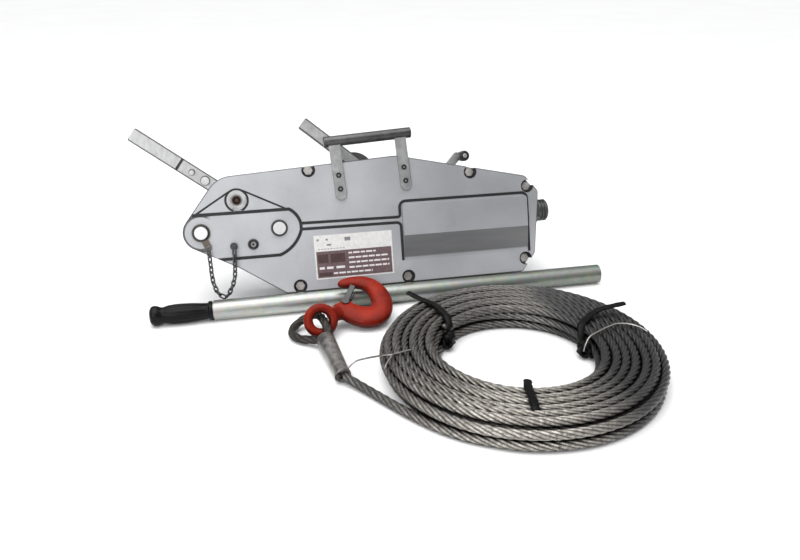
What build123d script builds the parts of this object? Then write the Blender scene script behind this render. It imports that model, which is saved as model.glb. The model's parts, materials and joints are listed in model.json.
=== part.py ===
"""Wire-rope pulling hoist (come along winch) with its handle, hook and coil of rope.

Millimetres, +Z up, origin on the floor under the middle of the hoist, handle and hook.
The casing leans back: its front bottom edge lies on the handle tube, its rear bottom edge
on the floor. Everything in the casing is drawn on MID, the casing's own middle plane:
x runs along the casing, y runs up its face, and depth is positive towards the front.
"""

import os
from math import acos, atan2, cos, pi, radians, sin, tan

from build123d import *

os.makedirs("parts", exist_ok=True)

# ---- driving dimensions: how it stands
TUBE_R = 13.5
TUBE_Y = 28.0
TUBE_LEFT, TUBE_RIGHT = -232.0, 322.0
REACH = 85.0  # from the handle tube's axis back to the casing's rear bottom edge
REST_GAP = 0.2
LEAN = 2 * atan2(TUBE_R + REST_GAP, REACH)
CASING_X = -35.0
HALF_DEPTH = 44.0
WALL = 6.0
CAVITY = HALF_DEPTH - WALL  # depth of the inner face of each shell's wall
FRONT = Vector(0, -cos(LEAN), sin(LEAN))
MID = Plane(
    origin=Vector(CASING_X, TUBE_Y + REACH, 0) + FRONT * HALF_DEPTH,
    x_dir=(1, 0, 0),
    z_dir=FRONT,
)
RUN = 0.05  # radial running clearance of a pin or shaft

# ---- driving dimensions: casing, on MID
ANCHOR_PIN_AT = (-204.0, 90.0)
FIXED_PIN_AT = (-102.0, 89.0)
CHEEK_R = 23.5
CRANK_AT = (-154.5, 129.5)
REVERSE_AT = (10.0, 156.0)
RELEASE_AT = (150.0, 140.0)
BOLTS_AT = [(-57, 163), (169, 147), (252.5, 122), (245, 19), (71, 8), (-80, 8)]
BOLT_R = 3.4
HEAD_APOTHEM = 5.7  # half the bolt heads' width across the flats
SCALLOP_R = 9.2
SCALLOP_FLOOR = 33.0
PIN_R = 9.0
PIN_HEAD_R = 10.3
PAD = 2.0  # how far the cheek panel stands out
GROOVE_W, CHEEK_GROOVE_W, GROOVE_DEEP = 3.8, 4.2, 2.5
MOUTH_HALF = 31.0
LEVER_W, LEVER_T = 19.0, 11.0
SLOT_HALF = LEVER_T / 2 + 2.0

# ---- driving dimensions: rope line through the casing
ROPE_R = 5.5
GUIDE_AT = (272.0, 84.0)
ROPE_DROP = 2.0  # degrees that the rope line falls towards the left end
ROPE_DIR = MID.x_dir * cos(radians(ROPE_DROP)) + MID.y_dir * sin(radians(ROPE_DROP))
ROPE = Plane(origin=MID.from_local_coords((*GUIDE_AT, 0)), x_dir=ROPE_DIR, z_dir=FRONT)
REAR_JAW_X, FRONT_JAW_X = -332.0, -177.0  # along the rope line, from the guide
CRANK_ARM = 18.0
CRANK_SHAFT_R = 8.0
CRANK_SWING = 35.0  # degrees each side of the arm's middle position
LEVER_ANGLE = 143.0
REVERSE_ARM = 22.0
REVERSE_SWING = 30.0
REVERSE_ANGLE = 139.7


def on_rope(point):
    """The place on ROPE of a point given on MID."""
    dx, dy = point[0] - GUIDE_AT[0], point[1] - GUIDE_AT[1]
    c, s = cos(radians(ROPE_DROP)), sin(radians(ROPE_DROP))
    return (dx * c + dy * s, dy * c - dx * s)


def polar(centre, radius, angle):
    """The point at a radius and an angle in degrees from a centre."""
    return (centre[0] + radius * cos(radians(angle)), centre[1] + radius * sin(radians(angle)))


def tangent_point(point, centre, radius, side):
    """Where a line from a point touches a circle, on the side +1 or -1."""
    dx, dy = point[0] - centre[0], point[1] - centre[1]
    reach = (dx * dx + dy * dy) ** 0.5
    turn = atan2(dy, dx) + side * acos(radius / reach)
    return (centre[0] + radius * cos(turn), centre[1] + radius * sin(turn))


def save(piece, name):
    """Label a finished piece and write it under its node's name."""
    piece.part.label = name
    export_step(piece.part, f"parts/{name}.step")


# ---------------------------------------------------------------- casing
TOE, SHOULDER = (-160.0, 40.5), (-178.0, 161.0)
CORNERS = [
    ((-99.0, 0.0), 5.0),
    (TOE, 12.0),
    (SHOULDER, 40.0),
    ((64.0, 176.0), 40.0),
    ((250.0, 137.0), 12.0),
    ((269.0, 114.0), 8.0),
    ((260.0, 26.0), 14.0),
    ((240.0, 0.0), 6.0),
]


def casing_profile(inset=0.0):
    """The casing's outline: a straight-sided body with a round nose about the anchor pin."""
    points = [corner for corner, _ in CORNERS]
    low = tangent_point(TOE, ANCHOR_PIN_AT, CHEEK_R, -1)
    high = tangent_point(SHOULDER, ANCHOR_PIN_AT, CHEEK_R, 1)
    with BuildSketch(Plane.XY, mode=Mode.PRIVATE) as profile:
        with BuildLine():
            Polyline(*points[:2], low, ANCHOR_PIN_AT, high, *points[2:], close=True)
        make_face()
        for corner, radius in CORNERS:
            near = profile.vertices().sort_by_distance((*corner, 0))[0]
            fillet(near, radius)
        with Locations(ANCHOR_PIN_AT):
            Circle(CHEEK_R)
        if inset:
            offset(amount=-inset, kind=Kind.INTERSECTION)
    return profile.sketch


def cheek_profile():
    """The raised panel that carries both pins."""
    with BuildSketch(Plane.XY, mode=Mode.PRIVATE) as panel:
        with BuildLine():
            Polyline((-213, 111.5), (-88, 111.5))
            ThreePointArc((-88, 111.5), (-79.2, 103.7), (-74.5, 93))
            Polyline((-74.5, 93), (-74.5, 85))
            ThreePointArc((-74.5, 85), (-85.6, 66.3), (-104, 54.5))
            Polyline((-104, 54.5), (-187, 54.5), (-204, 66.5), (-204, 90), (-213, 111.5))
        make_face()
        with Locations(ANCHOR_PIN_AT):
            Circle(CHEEK_R - 0.5)
        outline = casing_profile(0.5)
        add(outline, mode=Mode.INTERSECT)
        with Locations(ANCHOR_PIN_AT):
            Circle(CHEEK_R - 0.5)
    return panel.sketch


def window_bulge(side):
    """The raised panel at the rope end: flat above, sloping back below."""
    flat_top, flat_low, foot, rise = 108.0, 66.0, 31.0, 6.0
    left, right = 67.0, 249.0
    across = Plane(origin=MID.from_local_coords((left, 0, 0)), x_dir=MID.y_dir, z_dir=MID.x_dir)
    surface = side * HALF_DEPTH
    with BuildPart() as bulge:
        with BuildSketch(across):
            with BuildLine():
                Polyline(
                    (flat_top + 3, surface - side), (flat_top + 3, surface),
                    (flat_top, surface + side * rise), (flat_low, surface + side * rise),
                    (foot, surface), (foot, surface - side), close=True,
                )
            make_face()
        extrude(amount=right - left)
        with BuildSketch(MID.offset(surface - side)):
            with Locations(((left + right) / 2, (flat_top + 3 + foot) / 2)):
                RectangleRounded(right - left, flat_top + 3 - foot, 7)
        extrude(amount=side * (rise + 1), mode=Mode.INTERSECT)
    return bulge.part


def groove_lines():
    """The grooves cast into each face: round the cheek, the boss and the two long panels."""
    with BuildSketch(Plane.XY, mode=Mode.PRIVATE) as grooves:
        with BuildLine():
            Polyline((-74, 93), (61, 91.5))
            TangentArc((61, 91.5), (64.5, 95), tangent=(1, 0))
            Polyline((64.5, 95), (64.5, 104.5))
            TangentArc((64.5, 104.5), (73, 113), tangent=(0, 1))
            Polyline((73, 113), (243, 113))
            TangentArc((243, 113), (251, 105), tangent=(1, 0))
            Polyline((251, 105), (251, 29))
        trace(line_width=GROOVE_W)
        with BuildLine():
            Polyline((-74, 85), (59, 84))
            TangentArc((59, 84), (65, 78), tangent=(1, 0))
            Polyline((65, 78), (65, 31))
        trace(line_width=GROOVE_W)
        with BuildLine():
            Polyline((-211, 113), polar(CRANK_AT, 15, 130))
            Polyline((-89, 113), polar(CRANK_AT, 15, 55))
        trace(line_width=2.2)
        with Locations(CRANK_AT):
            Circle(15.8)
            Circle(13.2, mode=Mode.SUBTRACT)
        with Locations((CRANK_AT[0], 113.5)):
            Rectangle(12, 6, mode=Mode.SUBTRACT)
        with BuildLine():
            Polyline((-213, 113.2), (-87.2, 113.2))
            ThreePointArc((-87.2, 113.2), (-77.8, 104.7), (-72.8, 93.3))
            Polyline((-72.8, 93.3), (-72.8, 84.7))
            ThreePointArc((-72.8, 84.7), (-84.4, 65.1), (-103.5, 52.8))
            Polyline((-103.5, 52.8), (-187.4, 52.8), (-199.6, 61.4))
        trace(line_width=CHEEK_GROOVE_W)
    return grooves.sketch


def lever_slots():
    """Slots in the casing's rim, seen along the depth: where each lever comes out."""
    with BuildSketch(Plane.XY, mode=Mode.PRIVATE) as slots:
        with BuildLine():
            Polyline(CRANK_AT, (-262, 152), (-235, 230), (-100, 230), (-118, 140), close=True)
        make_face()
        with Locations((15, 190)):
            Rectangle(92, 56)
    return slots.sketch


def casing_shell(side):
    """One half of the casing: side +1 is the front half, side -1 the rear half."""
    with BuildPart() as shell:
        with BuildSketch(MID):
            add(casing_profile())
        extrude(amount=side * HALF_DEPTH)
        outer_face = shell.faces().sort_by(Axis((0, 0, 0), tuple(FRONT * side)))[-1]
        chamfer(outer_face.edges(), 1.2)
        with BuildSketch(MID.offset(side * (HALF_DEPTH - 1))):
            add(cheek_profile())
        extrude(amount=side * (PAD + 1))
        with BuildSketch(MID.offset(side * (HALF_DEPTH + PAD + 1))):
            add(groove_lines())
        extrude(amount=-side * (GROOVE_DEEP + PAD + 1), mode=Mode.SUBTRACT)
        if side > 0:
            add(window_bulge(side))
        with BuildSketch(MID):
            add(casing_profile(WALL))
            with Locations(*BOLTS_AT):
                Circle(SCALLOP_R + 2, mode=Mode.SUBTRACT)
            with Locations(RELEASE_AT):
                Circle(11, mode=Mode.SUBTRACT)
        extrude(amount=side * CAVITY, mode=Mode.SUBTRACT)
        with BuildSketch(MID):
            with Locations(RELEASE_AT):
                Circle(12)
        extrude(amount=side * (CAVITY - 10), mode=Mode.SUBTRACT)
        with BuildSketch(MID.offset(side * SCALLOP_FLOOR)):
            with Locations(*BOLTS_AT):
                Circle(SCALLOP_R)
        extrude(amount=side * (HALF_DEPTH - SCALLOP_FLOOR + 1), mode=Mode.SUBTRACT)
        with BuildSketch(MID):
            with Locations(*BOLTS_AT):
                Circle(BOLT_R + 0.3)
        extrude(amount=side * HALF_DEPTH, mode=Mode.SUBTRACT)
        with BuildSketch(MID):
            with Locations(ANCHOR_PIN_AT):
                Circle(PIN_R + RUN)
            with Locations(FIXED_PIN_AT):
                Circle(PIN_R)
            with Locations(CRANK_AT):
                Circle(13)
        extrude(amount=side * (HALF_DEPTH + PAD + 1), mode=Mode.SUBTRACT)
        with BuildSketch(MID):
            with Locations(RELEASE_AT):
                Circle(5 + RUN)
        extrude(amount=side * 40, mode=Mode.SUBTRACT)
        # the levers' slots, the mouth at the anchor pin and the rope guide's seat
        with BuildSketch(MID):
            add(lever_slots())
        extrude(amount=side * SLOT_HALF, mode=Mode.SUBTRACT)
        with BuildSketch(MID):
            with Locations((-207, 90)):
                Rectangle(70, 56)
            with Locations((-196, 66)):
                Rectangle(48, 60)
        extrude(amount=side * MOUTH_HALF, mode=Mode.SUBTRACT)
        if side > 0:
            with BuildSketch(MID.offset(6)):
                with Locations((154, 164)):
                    Rectangle(54, 34)
            extrude(amount=9, mode=Mode.SUBTRACT)
        with BuildSketch(across_rope(12)):
            Circle(14.0)
        extrude(amount=-40, mode=Mode.SUBTRACT)
    return shell


def across_rope(distance):
    """A plane square to the rope line, at a distance along it from the guide's face."""
    return Plane(
        origin=ROPE.from_local_coords((distance, 0, 0)), x_dir=FRONT, z_dir=ROPE.x_dir
    )


def casing_bolts():
    """Hexagon-head bolts that clamp the two shells together."""
    with BuildPart() as bolts:
        with BuildSketch(MID.offset(SCALLOP_FLOOR)):
            with Locations(*BOLTS_AT):
                RegularPolygon(HEAD_APOTHEM, 6, major_radius=False)
        extrude(amount=5.3)
        with BuildSketch(MID.offset(-SCALLOP_FLOOR - 8)):
            with Locations(*BOLTS_AT):
                Circle(BOLT_R)
        extrude(amount=2 * SCALLOP_FLOOR + 8)
    return bolts


def casing_nuts():
    """The nuts on the rear ends of the casing bolts."""
    with BuildPart() as nuts:
        with BuildSketch(MID.offset(-SCALLOP_FLOOR)):
            with Locations(*BOLTS_AT):
                RegularPolygon(HEAD_APOTHEM, 6, major_radius=False)
                Circle(BOLT_R, mode=Mode.SUBTRACT)
        extrude(amount=-6.5)
    return nuts


def side_plate(side):
    """A steel plate inside each shell that carries the pins and the shafts."""
    with BuildPart() as plate:
        with BuildSketch(MID.offset(side * (CAVITY - 5))):
            with BuildLine():
                Polyline((-188, 105), (-162, 148), (40, 162), (52, 150), (52, 62), (-110, 60),
                         (-190, 62), (-204, 68.2), (-204, 90), close=True)
            make_face()
            with Locations(ANCHOR_PIN_AT):
                Circle(22)
            add(casing_profile(WALL + 0.3), mode=Mode.INTERSECT)
            with Locations(*BOLTS_AT):
                Circle(SCALLOP_R + 3, mode=Mode.SUBTRACT)
            with Locations(ANCHOR_PIN_AT):
                Circle(PIN_R + RUN, mode=Mode.SUBTRACT)
            with Locations(CRANK_AT):
                Circle(CRANK_SHAFT_R + RUN, mode=Mode.SUBTRACT)
            with Locations(FIXED_PIN_AT):
                Circle(PIN_R, mode=Mode.SUBTRACT)
            with Locations(REVERSE_AT):
                Circle(5 + RUN, mode=Mode.SUBTRACT)
        extrude(amount=side * 5)
    return plate


def anchor_pin():
    """The removable pin across the mouth, with a flat head and a tab for its chain."""
    head_at = HALF_DEPTH + PAD + 0.3
    with BuildPart() as pin:
        with BuildSketch(MID.offset(-HALF_DEPTH - PAD - 4)):
            with Locations(ANCHOR_PIN_AT):
                Circle(PIN_R)
        extrude(amount=2 * head_at + 4)
        with BuildSketch(MID.offset(head_at)):
            with Locations(ANCHOR_PIN_AT):
                Circle(PIN_R + 3)
            with BuildLine():
                Polyline(ANCHOR_PIN_AT, (-196.5, 70.5))
            trace(line_width=9)
            with Locations((-196.5, 70.5)):
                Circle(4.5)
                Circle(2, mode=Mode.SUBTRACT)
        extrude(amount=1.5)
        with BuildSketch(MID.offset(head_at + 1.5)):
            with Locations(ANCHOR_PIN_AT):
                Circle(PIN_HEAD_R)
        extrude(amount=3.5)
        face = pin.faces().sort_by(Axis(MID.origin, FRONT))[-1]
        chamfer(face.edges(), 0.8)
    return pin


def fixed_pins():
    """The two riveted stub pins behind the anchor pin, one in each side."""
    with BuildPart() as pins:
        for side in (1, -1):
            with BuildSketch(MID.offset(side * (CAVITY - 8))):
                with Locations(FIXED_PIN_AT):
                    Circle(PIN_R)
            extrude(amount=side * (WALL + PAD + 8))
            with BuildSketch(MID.offset(side * (HALF_DEPTH + PAD))):
                with Locations(FIXED_PIN_AT):
                    Circle(PIN_HEAD_R)
            extrude(amount=side * 3)
    return pins


def face_screw(at, radius, seat, depth):
    """A round-headed screw standing on the front face."""
    with BuildPart() as screw:
        with BuildSketch(MID.offset(seat)):
            with Locations(at):
                Circle(radius)
        extrude(amount=depth)
        top = screw.faces().sort_by(Axis(MID.origin, FRONT))[-1]
        fillet(top.edges(), min(1.0, depth / 3))
        with BuildSketch(MID.offset(seat + depth)):
            with Locations(at):
                RegularPolygon(radius * 0.45, 6)
        extrude(amount=-depth * 0.6, mode=Mode.SUBTRACT)
    return screw


CHAIN_EYE_AT = (-163.5, 69.5)


def chain_eyelet():
    """The screw eye on the cheek that holds the chain's fixed end."""
    with BuildPart() as eyelet:
        with BuildSketch(MID.offset(HALF_DEPTH + PAD)):
            with Locations(CHAIN_EYE_AT):
                Circle(3.6)
        extrude(amount=3)
        with BuildSketch(MID.offset(HALF_DEPTH + PAD + 3)):
            with Locations(CHAIN_EYE_AT):
                Circle(5)
        extrude(amount=1.5)
    return eyelet


# ---------------------------------------------------------------- forward lever and crank
SHEAR_PINS_AT = [polar(CRANK_AT, 49, LEVER_ANGLE + 0.6), polar(CRANK_AT, 69.5, LEVER_ANGLE + 0.6)]
SHEAR_R = [5.5, 3.2]
LEVER_END = 161.0
LEVER_STEP = 88.7


def forward_lever_hub():
    """The inner half of the forward lever, on the crank shaft, as two cheeks with a gap."""
    with BuildPart() as hub:
        with BuildSketch(MID.offset(-LEVER_T / 2 - 1.2)):
            with Locations(CRANK_AT):
                Circle(17)
            with BuildLine():
                Polyline(CRANK_AT, polar(CRANK_AT, LEVER_STEP, LEVER_ANGLE))
            trace(line_width=LEVER_W)
            with Locations(CRANK_AT):
                Circle(CRANK_SHAFT_R, mode=Mode.SUBTRACT)
        extrude(amount=LEVER_T + 2.4)
        with BuildSketch(MID.offset(-3.0)):
            with BuildLine():
                Polyline(polar(CRANK_AT, 34, LEVER_ANGLE), polar(CRANK_AT, LEVER_STEP + 5, LEVER_ANGLE))
            trace(line_width=LEVER_W + 4)
        extrude(amount=6.0, mode=Mode.SUBTRACT)
        with BuildSketch(MID.offset(-20)):
            for place, radius in zip(SHEAR_PINS_AT, SHEAR_R):
                with Locations(place):
                    Circle(radius)
        extrude(amount=40, mode=Mode.SUBTRACT)
    return hub


def forward_lever_bar():
    """The outer half of the forward lever, where the handle tube slips on."""
    with BuildPart() as bar:
        with BuildSketch(MID.offset(-3.0)):
            with BuildLine():
                Polyline(polar(CRANK_AT, 36, LEVER_ANGLE), polar(CRANK_AT, LEVER_STEP + 1, LEVER_ANGLE))
            trace(line_width=LEVER_W - 1)
        extrude(amount=6.0)
        with BuildSketch(MID.offset(-LEVER_T / 2)):
            with BuildLine():
                Polyline(
                    polar(CRANK_AT, LEVER_STEP + 0.8, LEVER_ANGLE), polar(CRANK_AT, LEVER_END, LEVER_ANGLE)
                )
            trace(line_width=LEVER_W)
        extrude(amount=LEVER_T)
        end = bar.edges().filter_by(Axis(MID.origin, FRONT)).sort_by_distance(
            MID.from_local_coords((*polar(CRANK_AT, LEVER_END + 9, LEVER_ANGLE), 0))
        )[:2]
        fillet(end, 2.5)
        with BuildSketch(MID.offset(-20)):
            for place, radius in zip(SHEAR_PINS_AT, SHEAR_R):
                with Locations(place):
                    Circle(radius)
        extrude(amount=40, mode=Mode.SUBTRACT)
    return bar


def shear_pins():
    """The two pins that join the halves of the forward lever and give way on overload."""
    half = LEVER_T / 2 + 1.2
    with BuildPart() as pins:
        for place, radius in zip(SHEAR_PINS_AT, SHEAR_R):
            with BuildSketch(MID.offset(-half - 0.8)):
                with Locations(place):
                    Circle(radius)
            extrude(amount=2 * half + 1.6)
    return pins


def crank_shaft():
    """The forward lever's shaft, with a socket in each end."""
    with BuildPart() as shaft:
        with BuildSketch(MID.offset(-HALF_DEPTH + 1)):
            with Locations(CRANK_AT):
                Circle(CRANK_SHAFT_R)
        extrude(amount=2 * HALF_DEPTH - 2)
        for side in (1, -1):
            with BuildSketch(MID.offset(side * (HALF_DEPTH - 1))):
                with Locations(CRANK_AT):
                    Circle(5.8)
            extrude(amount=-side * 5, mode=Mode.SUBTRACT)
    return shaft


def crank_bushes():
    """The flanged bushes in the shells that the crank shaft turns in."""
    with BuildPart() as bushes:
        for side in (1, -1):
            with BuildSketch(MID.offset(side * CAVITY)):
                with Locations(CRANK_AT):
                    Circle(13)
                    Circle(CRANK_SHAFT_R + RUN, mode=Mode.SUBTRACT)
            extrude(amount=side * (WALL + 0.8))
    return bushes


def crank_arm(side):
    """One crank arm with its drive pin: the front arm hangs down, the rear arm stands up."""
    direction = side * -90 + ROPE_DROP + CRANK_SWING
    tip = polar(CRANK_AT, CRANK_ARM, direction)
    with BuildPart() as arm:
        with BuildSketch(MID.offset(side * 24)):
            with Locations(CRANK_AT):
                Circle(13.5)
            with Locations(tip):
                Circle(7)
            with BuildLine():
                Polyline(CRANK_AT, tip)
            trace(line_width=13.5)
            with Locations(CRANK_AT):
                Circle(CRANK_SHAFT_R, mode=Mode.SUBTRACT)
        extrude(amount=side * 6)
        with BuildSketch(MID.offset(side * 17.5)):
            with Locations(tip):
                Circle(3.5)
        extrude(amount=side * 6.5)
    return arm


# ---------------------------------------------------------------- jaws, on the rope line
JAW_HALF = 34.0
JAW_HEIGHT = 16.0
JAW_DEPTH = 13.0
CARRIAGE_HALF = 42.0


def jaw_block(centre, upper):
    """A grip jaw: a steel block with a half-round groove for the rope."""
    sign = 1 if upper else -1
    with BuildPart() as jaw:
        with BuildSketch(ROPE.offset(-JAW_DEPTH)):
            with Locations((centre, sign * (0.5 + (JAW_HEIGHT - 0.5) / 2))):
                Rectangle(2 * JAW_HALF, JAW_HEIGHT - 0.5)
        extrude(amount=2 * JAW_DEPTH)
        chamfer(jaw.edges().filter_by(Axis(ROPE.origin, FRONT)), 2)
        with BuildSketch(across_rope(centre - JAW_HALF - 1)):
            Circle(ROPE_R + 0.1)
        extrude(amount=2 * JAW_HALF + 2, mode=Mode.SUBTRACT)
    return jaw


def jaw_carriage(centre):
    """The channel that holds a pair of jaws and slides along the rope line."""
    with BuildPart() as channel:
        with BuildSketch(ROPE.offset(-JAW_DEPTH - 3.2)):
            with Locations((centre, -1)):
                RectangleRounded(2 * CARRIAGE_HALF, 42, 4)
        extrude(amount=2 * JAW_DEPTH + 6.4)
        with BuildSketch(ROPE.offset(-JAW_DEPTH - 0.2)):
            with Locations((centre, JAW_HEIGHT - 5)):
                Rectangle(2 * CARRIAGE_HALF + 2, 54)
        extrude(amount=2 * JAW_DEPTH + 0.4, mode=Mode.SUBTRACT)
    return channel


def drive_link(side, jaw_x):
    """The flat link from a crank pin to a jaw carriage. Its slotted eye is the open pivot."""
    crank = on_rope(CRANK_AT)
    eye_x = crank[0] + side * CRANK_ARM * sin(radians(CRANK_SWING))
    rise = CRANK_ARM * (1 + cos(radians(CRANK_SWING))) / 2
    eye_y = crank[1] - side * rise
    half_slot = CRANK_ARM * (1 - cos(radians(CRANK_SWING))) / 2
    with BuildPart() as link:
        with BuildSketch(ROPE.offset(side * 17.0)):
            with Locations((eye_x, eye_y)):
                Circle(7.5)
            with BuildLine():
                if side > 0:
                    Polyline((eye_x, eye_y), (jaw_x - 25, 8), (jaw_x + 25, 8))
                else:
                    Polyline((eye_x, eye_y), (jaw_x - 75, 56), (jaw_x - 25, 8), (jaw_x + 25, 8))
            trace(line_width=12)
            with Locations((eye_x, eye_y)):
                SlotOverall(2 * half_slot + 9.2, 8.2, rotation=90, mode=Mode.SUBTRACT)
        extrude(amount=side * 5)
        with BuildSketch(ROPE.offset(side * (JAW_DEPTH + 3.2))):
            with Locations((jaw_x - 22, 8), (jaw_x + 22, 8)):
                Circle(5)
        extrude(amount=side * (17.0 - JAW_DEPTH - 3.2))
    return link


# ---------------------------------------------------------------- reverse and release levers
def reverse_lever():
    """The reverse lever: a round plate on its shaft and a bar that leans to the left."""
    tip, reach = (-56.7, 230.0), 104.0
    slope = REVERSE_ANGLE
    foot = polar(tip, -reach + 10, slope)
    with BuildPart() as lever:
        with BuildSketch(MID.offset(-4.5)):
            with Locations(REVERSE_AT):
                Circle(30)
            with BuildLine():
                Polyline(tip, foot)
            trace(line_width=LEVER_W - 2)
            with Locations(REVERSE_AT):
                Circle(5, mode=Mode.SUBTRACT)
        extrude(amount=9)
        ends = lever.edges().filter_by(Axis(MID.origin, FRONT)).sort_by_distance(
            MID.from_local_coords((*polar(tip, 9, slope), 0))
        )[:2]
        fillet(ends, 2.5)
        pin_at = polar(REVERSE_AT, REVERSE_ARM, -90 + ROPE_DROP + REVERSE_SWING)
        with BuildSketch(MID.offset(4.5)):
            with Locations(pin_at):
                Circle(3.5)
        extrude(amount=7)
    return lever


def reverse_shaft():
    """The reverse lever's shaft."""
    with BuildPart() as shaft:
        with BuildSketch(MID.offset(-CAVITY + 0.5)):
            with Locations(REVERSE_AT):
                Circle(5)
        extrude(amount=2 * CAVITY - 1)
    return shaft


def reverse_link():
    """The link that the reverse lever pushes along above the jaws."""
    shaft = on_rope(REVERSE_AT)
    eye_x = shaft[0] + REVERSE_ARM * sin(radians(REVERSE_SWING))
    eye_y = shaft[1] - REVERSE_ARM * (1 + cos(radians(REVERSE_SWING))) / 2
    half_slot = REVERSE_ARM * (1 - cos(radians(REVERSE_SWING))) / 2
    with BuildPart() as link:
        with BuildSketch(ROPE.offset(6.0)):
            with Locations((eye_x, eye_y)):
                Circle(10)
            with BuildLine():
                Polyline((eye_x, eye_y), (eye_x + 60, 36), (eye_x + 130, 36))
            trace(line_width=12)
            with Locations((eye_x, eye_y)):
                SlotOverall(2 * half_slot + 9.2, 8.2, rotation=90, mode=Mode.SUBTRACT)
        extrude(amount=4)
    return link


KNOB_AT = (168.0, 170.7)


def release_lever():
    """The plate lever that frees the rope, with a cam lobe inside the casing."""
    with BuildPart() as lever:
        with BuildSketch(MID.offset(8)):
            with Locations(RELEASE_AT):
                Circle(9)
            with BuildLine():
                Polyline(RELEASE_AT, (147, 157), (160.5, 171), KNOB_AT)
            trace(line_width=12)
            with Locations(polar(RELEASE_AT, 12, -120)):
                Circle(5)
            with Locations(RELEASE_AT):
                Circle(5, mode=Mode.SUBTRACT)
        extrude(amount=4)
    return lever


def release_shaft():
    """The release lever's shaft, in blind holes in the shells."""
    with BuildPart() as shaft:
        with BuildSketch(MID.offset(-39.5)):
            with Locations(RELEASE_AT):
                Circle(5)
        extrude(amount=79)
    return shaft


def release_knob():
    """The round knob on the release lever, facing the front."""
    with BuildPart() as knob:
        with BuildSketch(MID.offset(12)):
            with Locations(KNOB_AT):
                Circle(7.4)
        extrude(amount=14)
        top = knob.faces().sort_by(Axis(MID.origin, FRONT))[-1]
        fillet(top.edges(), 2.5)
    return knob


def release_knob_screw():
    """The bright screw in the middle of the knob."""
    return face_screw(KNOB_AT, 3.0, 26, 1.6)


# ---------------------------------------------------------------- carrying handle
GRIP_TILT = 3.5
GRIP = Plane(
    origin=MID.from_local_coords((26.5, 202.5, HALF_DEPTH - 2)),
    x_dir=MID.x_dir * cos(radians(GRIP_TILT)) + MID.y_dir * sin(radians(GRIP_TILT)),
    z_dir=FRONT,
)
GRIP_HALF, GRIP_R = 60.5, 7.2
STRAPS_X = [-46.5, 44.5]
STRAP_LOW = -72.0
STRAP_W, STRAP_T = 15.5, 3.0
STRAP_SEAT = 2.0  # depth of the casing's face on GRIP
SCREWS_Y = [-46.0, -64.5]


def carry_straps():
    """The two flat straps of the carrying handle, screwed to the front shell."""
    with BuildPart() as straps:
        for x, low in zip(STRAPS_X, (STRAP_LOW, STRAP_LOW + 2)):
            with BuildSketch(GRIP.offset(STRAP_SEAT)):
                with BuildLine():
                    Polyline((x, -1), (x, low))
                trace(line_width=STRAP_W)
                with Locations((x, low)):
                    Circle(STRAP_W / 2)
                with Locations((x, SCREWS_Y[0]), (x, SCREWS_Y[1])):
                    Circle(2.6, mode=Mode.SUBTRACT)
            extrude(amount=STRAP_T)
        with BuildSketch(across_grip(-GRIP_HALF - 1)):
            Circle(GRIP_R)
        extrude(amount=2 * GRIP_HALF + 2, mode=Mode.SUBTRACT)
    return straps


def across_grip(distance):
    """A plane square to the carrying grip's axis."""
    return Plane(origin=GRIP.from_local_coords((distance, 0, 0)), x_dir=FRONT, z_dir=GRIP.x_dir)


def carry_grip():
    """The round grip of the carrying handle."""
    with BuildPart() as grip:
        with BuildSketch(across_grip(-GRIP_HALF)):
            Circle(GRIP_R)
        extrude(amount=2 * GRIP_HALF)
        chamfer(grip.edges().filter_by(GeomType.CIRCLE), 0.8)
    return grip


def strap_screws():
    """The four screws that hold the straps, in tapped holes in the front shell."""
    with BuildPart() as screws:
        for x in STRAPS_X:
            for y in SCREWS_Y:
                with BuildSketch(GRIP.offset(STRAP_SEAT)):
                    with Locations((x, y)):
                        Circle(2.6)
                extrude(amount=STRAP_T)
                with BuildSketch(GRIP.offset(STRAP_SEAT + STRAP_T)):
                    with Locations((x, y)):
                        Circle(3.6)
                        RegularPolygon(1.8, 6, mode=Mode.SUBTRACT)
                extrude(amount=1.8)
    return screws


# ---------------------------------------------------------------- rope guides and label
GUIDE_BORE = 7.0


def rope_guide():
    """The inlet bush at the rope end, with its hexagon head outside the casing."""
    with BuildPart() as guide:
        with BuildSketch(across_rope(-24)):
            Circle(14.0)
        extrude(amount=24)
        with BuildSketch(across_rope(0)):
            RegularPolygon(18, 6, rotation=30)
        extrude(amount=9)
        with BuildSketch(across_rope(9)):
            Circle(16)
        extrude(amount=15)
        chamfer(guide.edges().filter_by(GeomType.CIRCLE).sort_by(Axis(ROPE.origin, ROPE.x_dir))[-1], 2)
        for ahead in (12.5, 17.0):
            with BuildSketch(across_rope(ahead)):
                Circle(17)
                Circle(14.6, mode=Mode.SUBTRACT)
            extrude(amount=1.6, mode=Mode.SUBTRACT)
        with BuildSketch(across_rope(-25)):
            Circle(GUIDE_BORE)
        extrude(amount=50, mode=Mode.SUBTRACT)
    return guide


def outlet_guide():
    """The inner guide that leads the rope past the anchor pin."""
    centre = -432.0
    with BuildPart() as guide:
        with BuildSketch(ROPE.offset(-CAVITY + 5)):
            with Locations((centre, 0)):
                Rectangle(12, 19)
        extrude(amount=2 * CAVITY - 10)
        with BuildSketch(across_rope(centre - 8)):
            Circle(GUIDE_BORE)
        extrude(amount=16, mode=Mode.SUBTRACT)
    return guide


def label_plate():
    """The plain rating plate on the front face."""
    with BuildPart() as plate:
        with BuildSketch(MID.offset(HALF_DEPTH)):
            with Locations((-3.5, 44.5)):
                Rectangle(108, 60)
        extrude(amount=0.6)
    return plate


# ---------------------------------------------------------------- pin chain
def chain_link_plane(centre, towards, turned):
    """The plane of one chain link, lying along the chain and turned a quarter for the next."""
    along = towards.normalized()
    side = along.cross(Vector(1, 0, 0) if turned else FRONT)
    return Plane(origin=centre, x_dir=along, z_dir=side if turned else along.cross(side))


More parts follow.
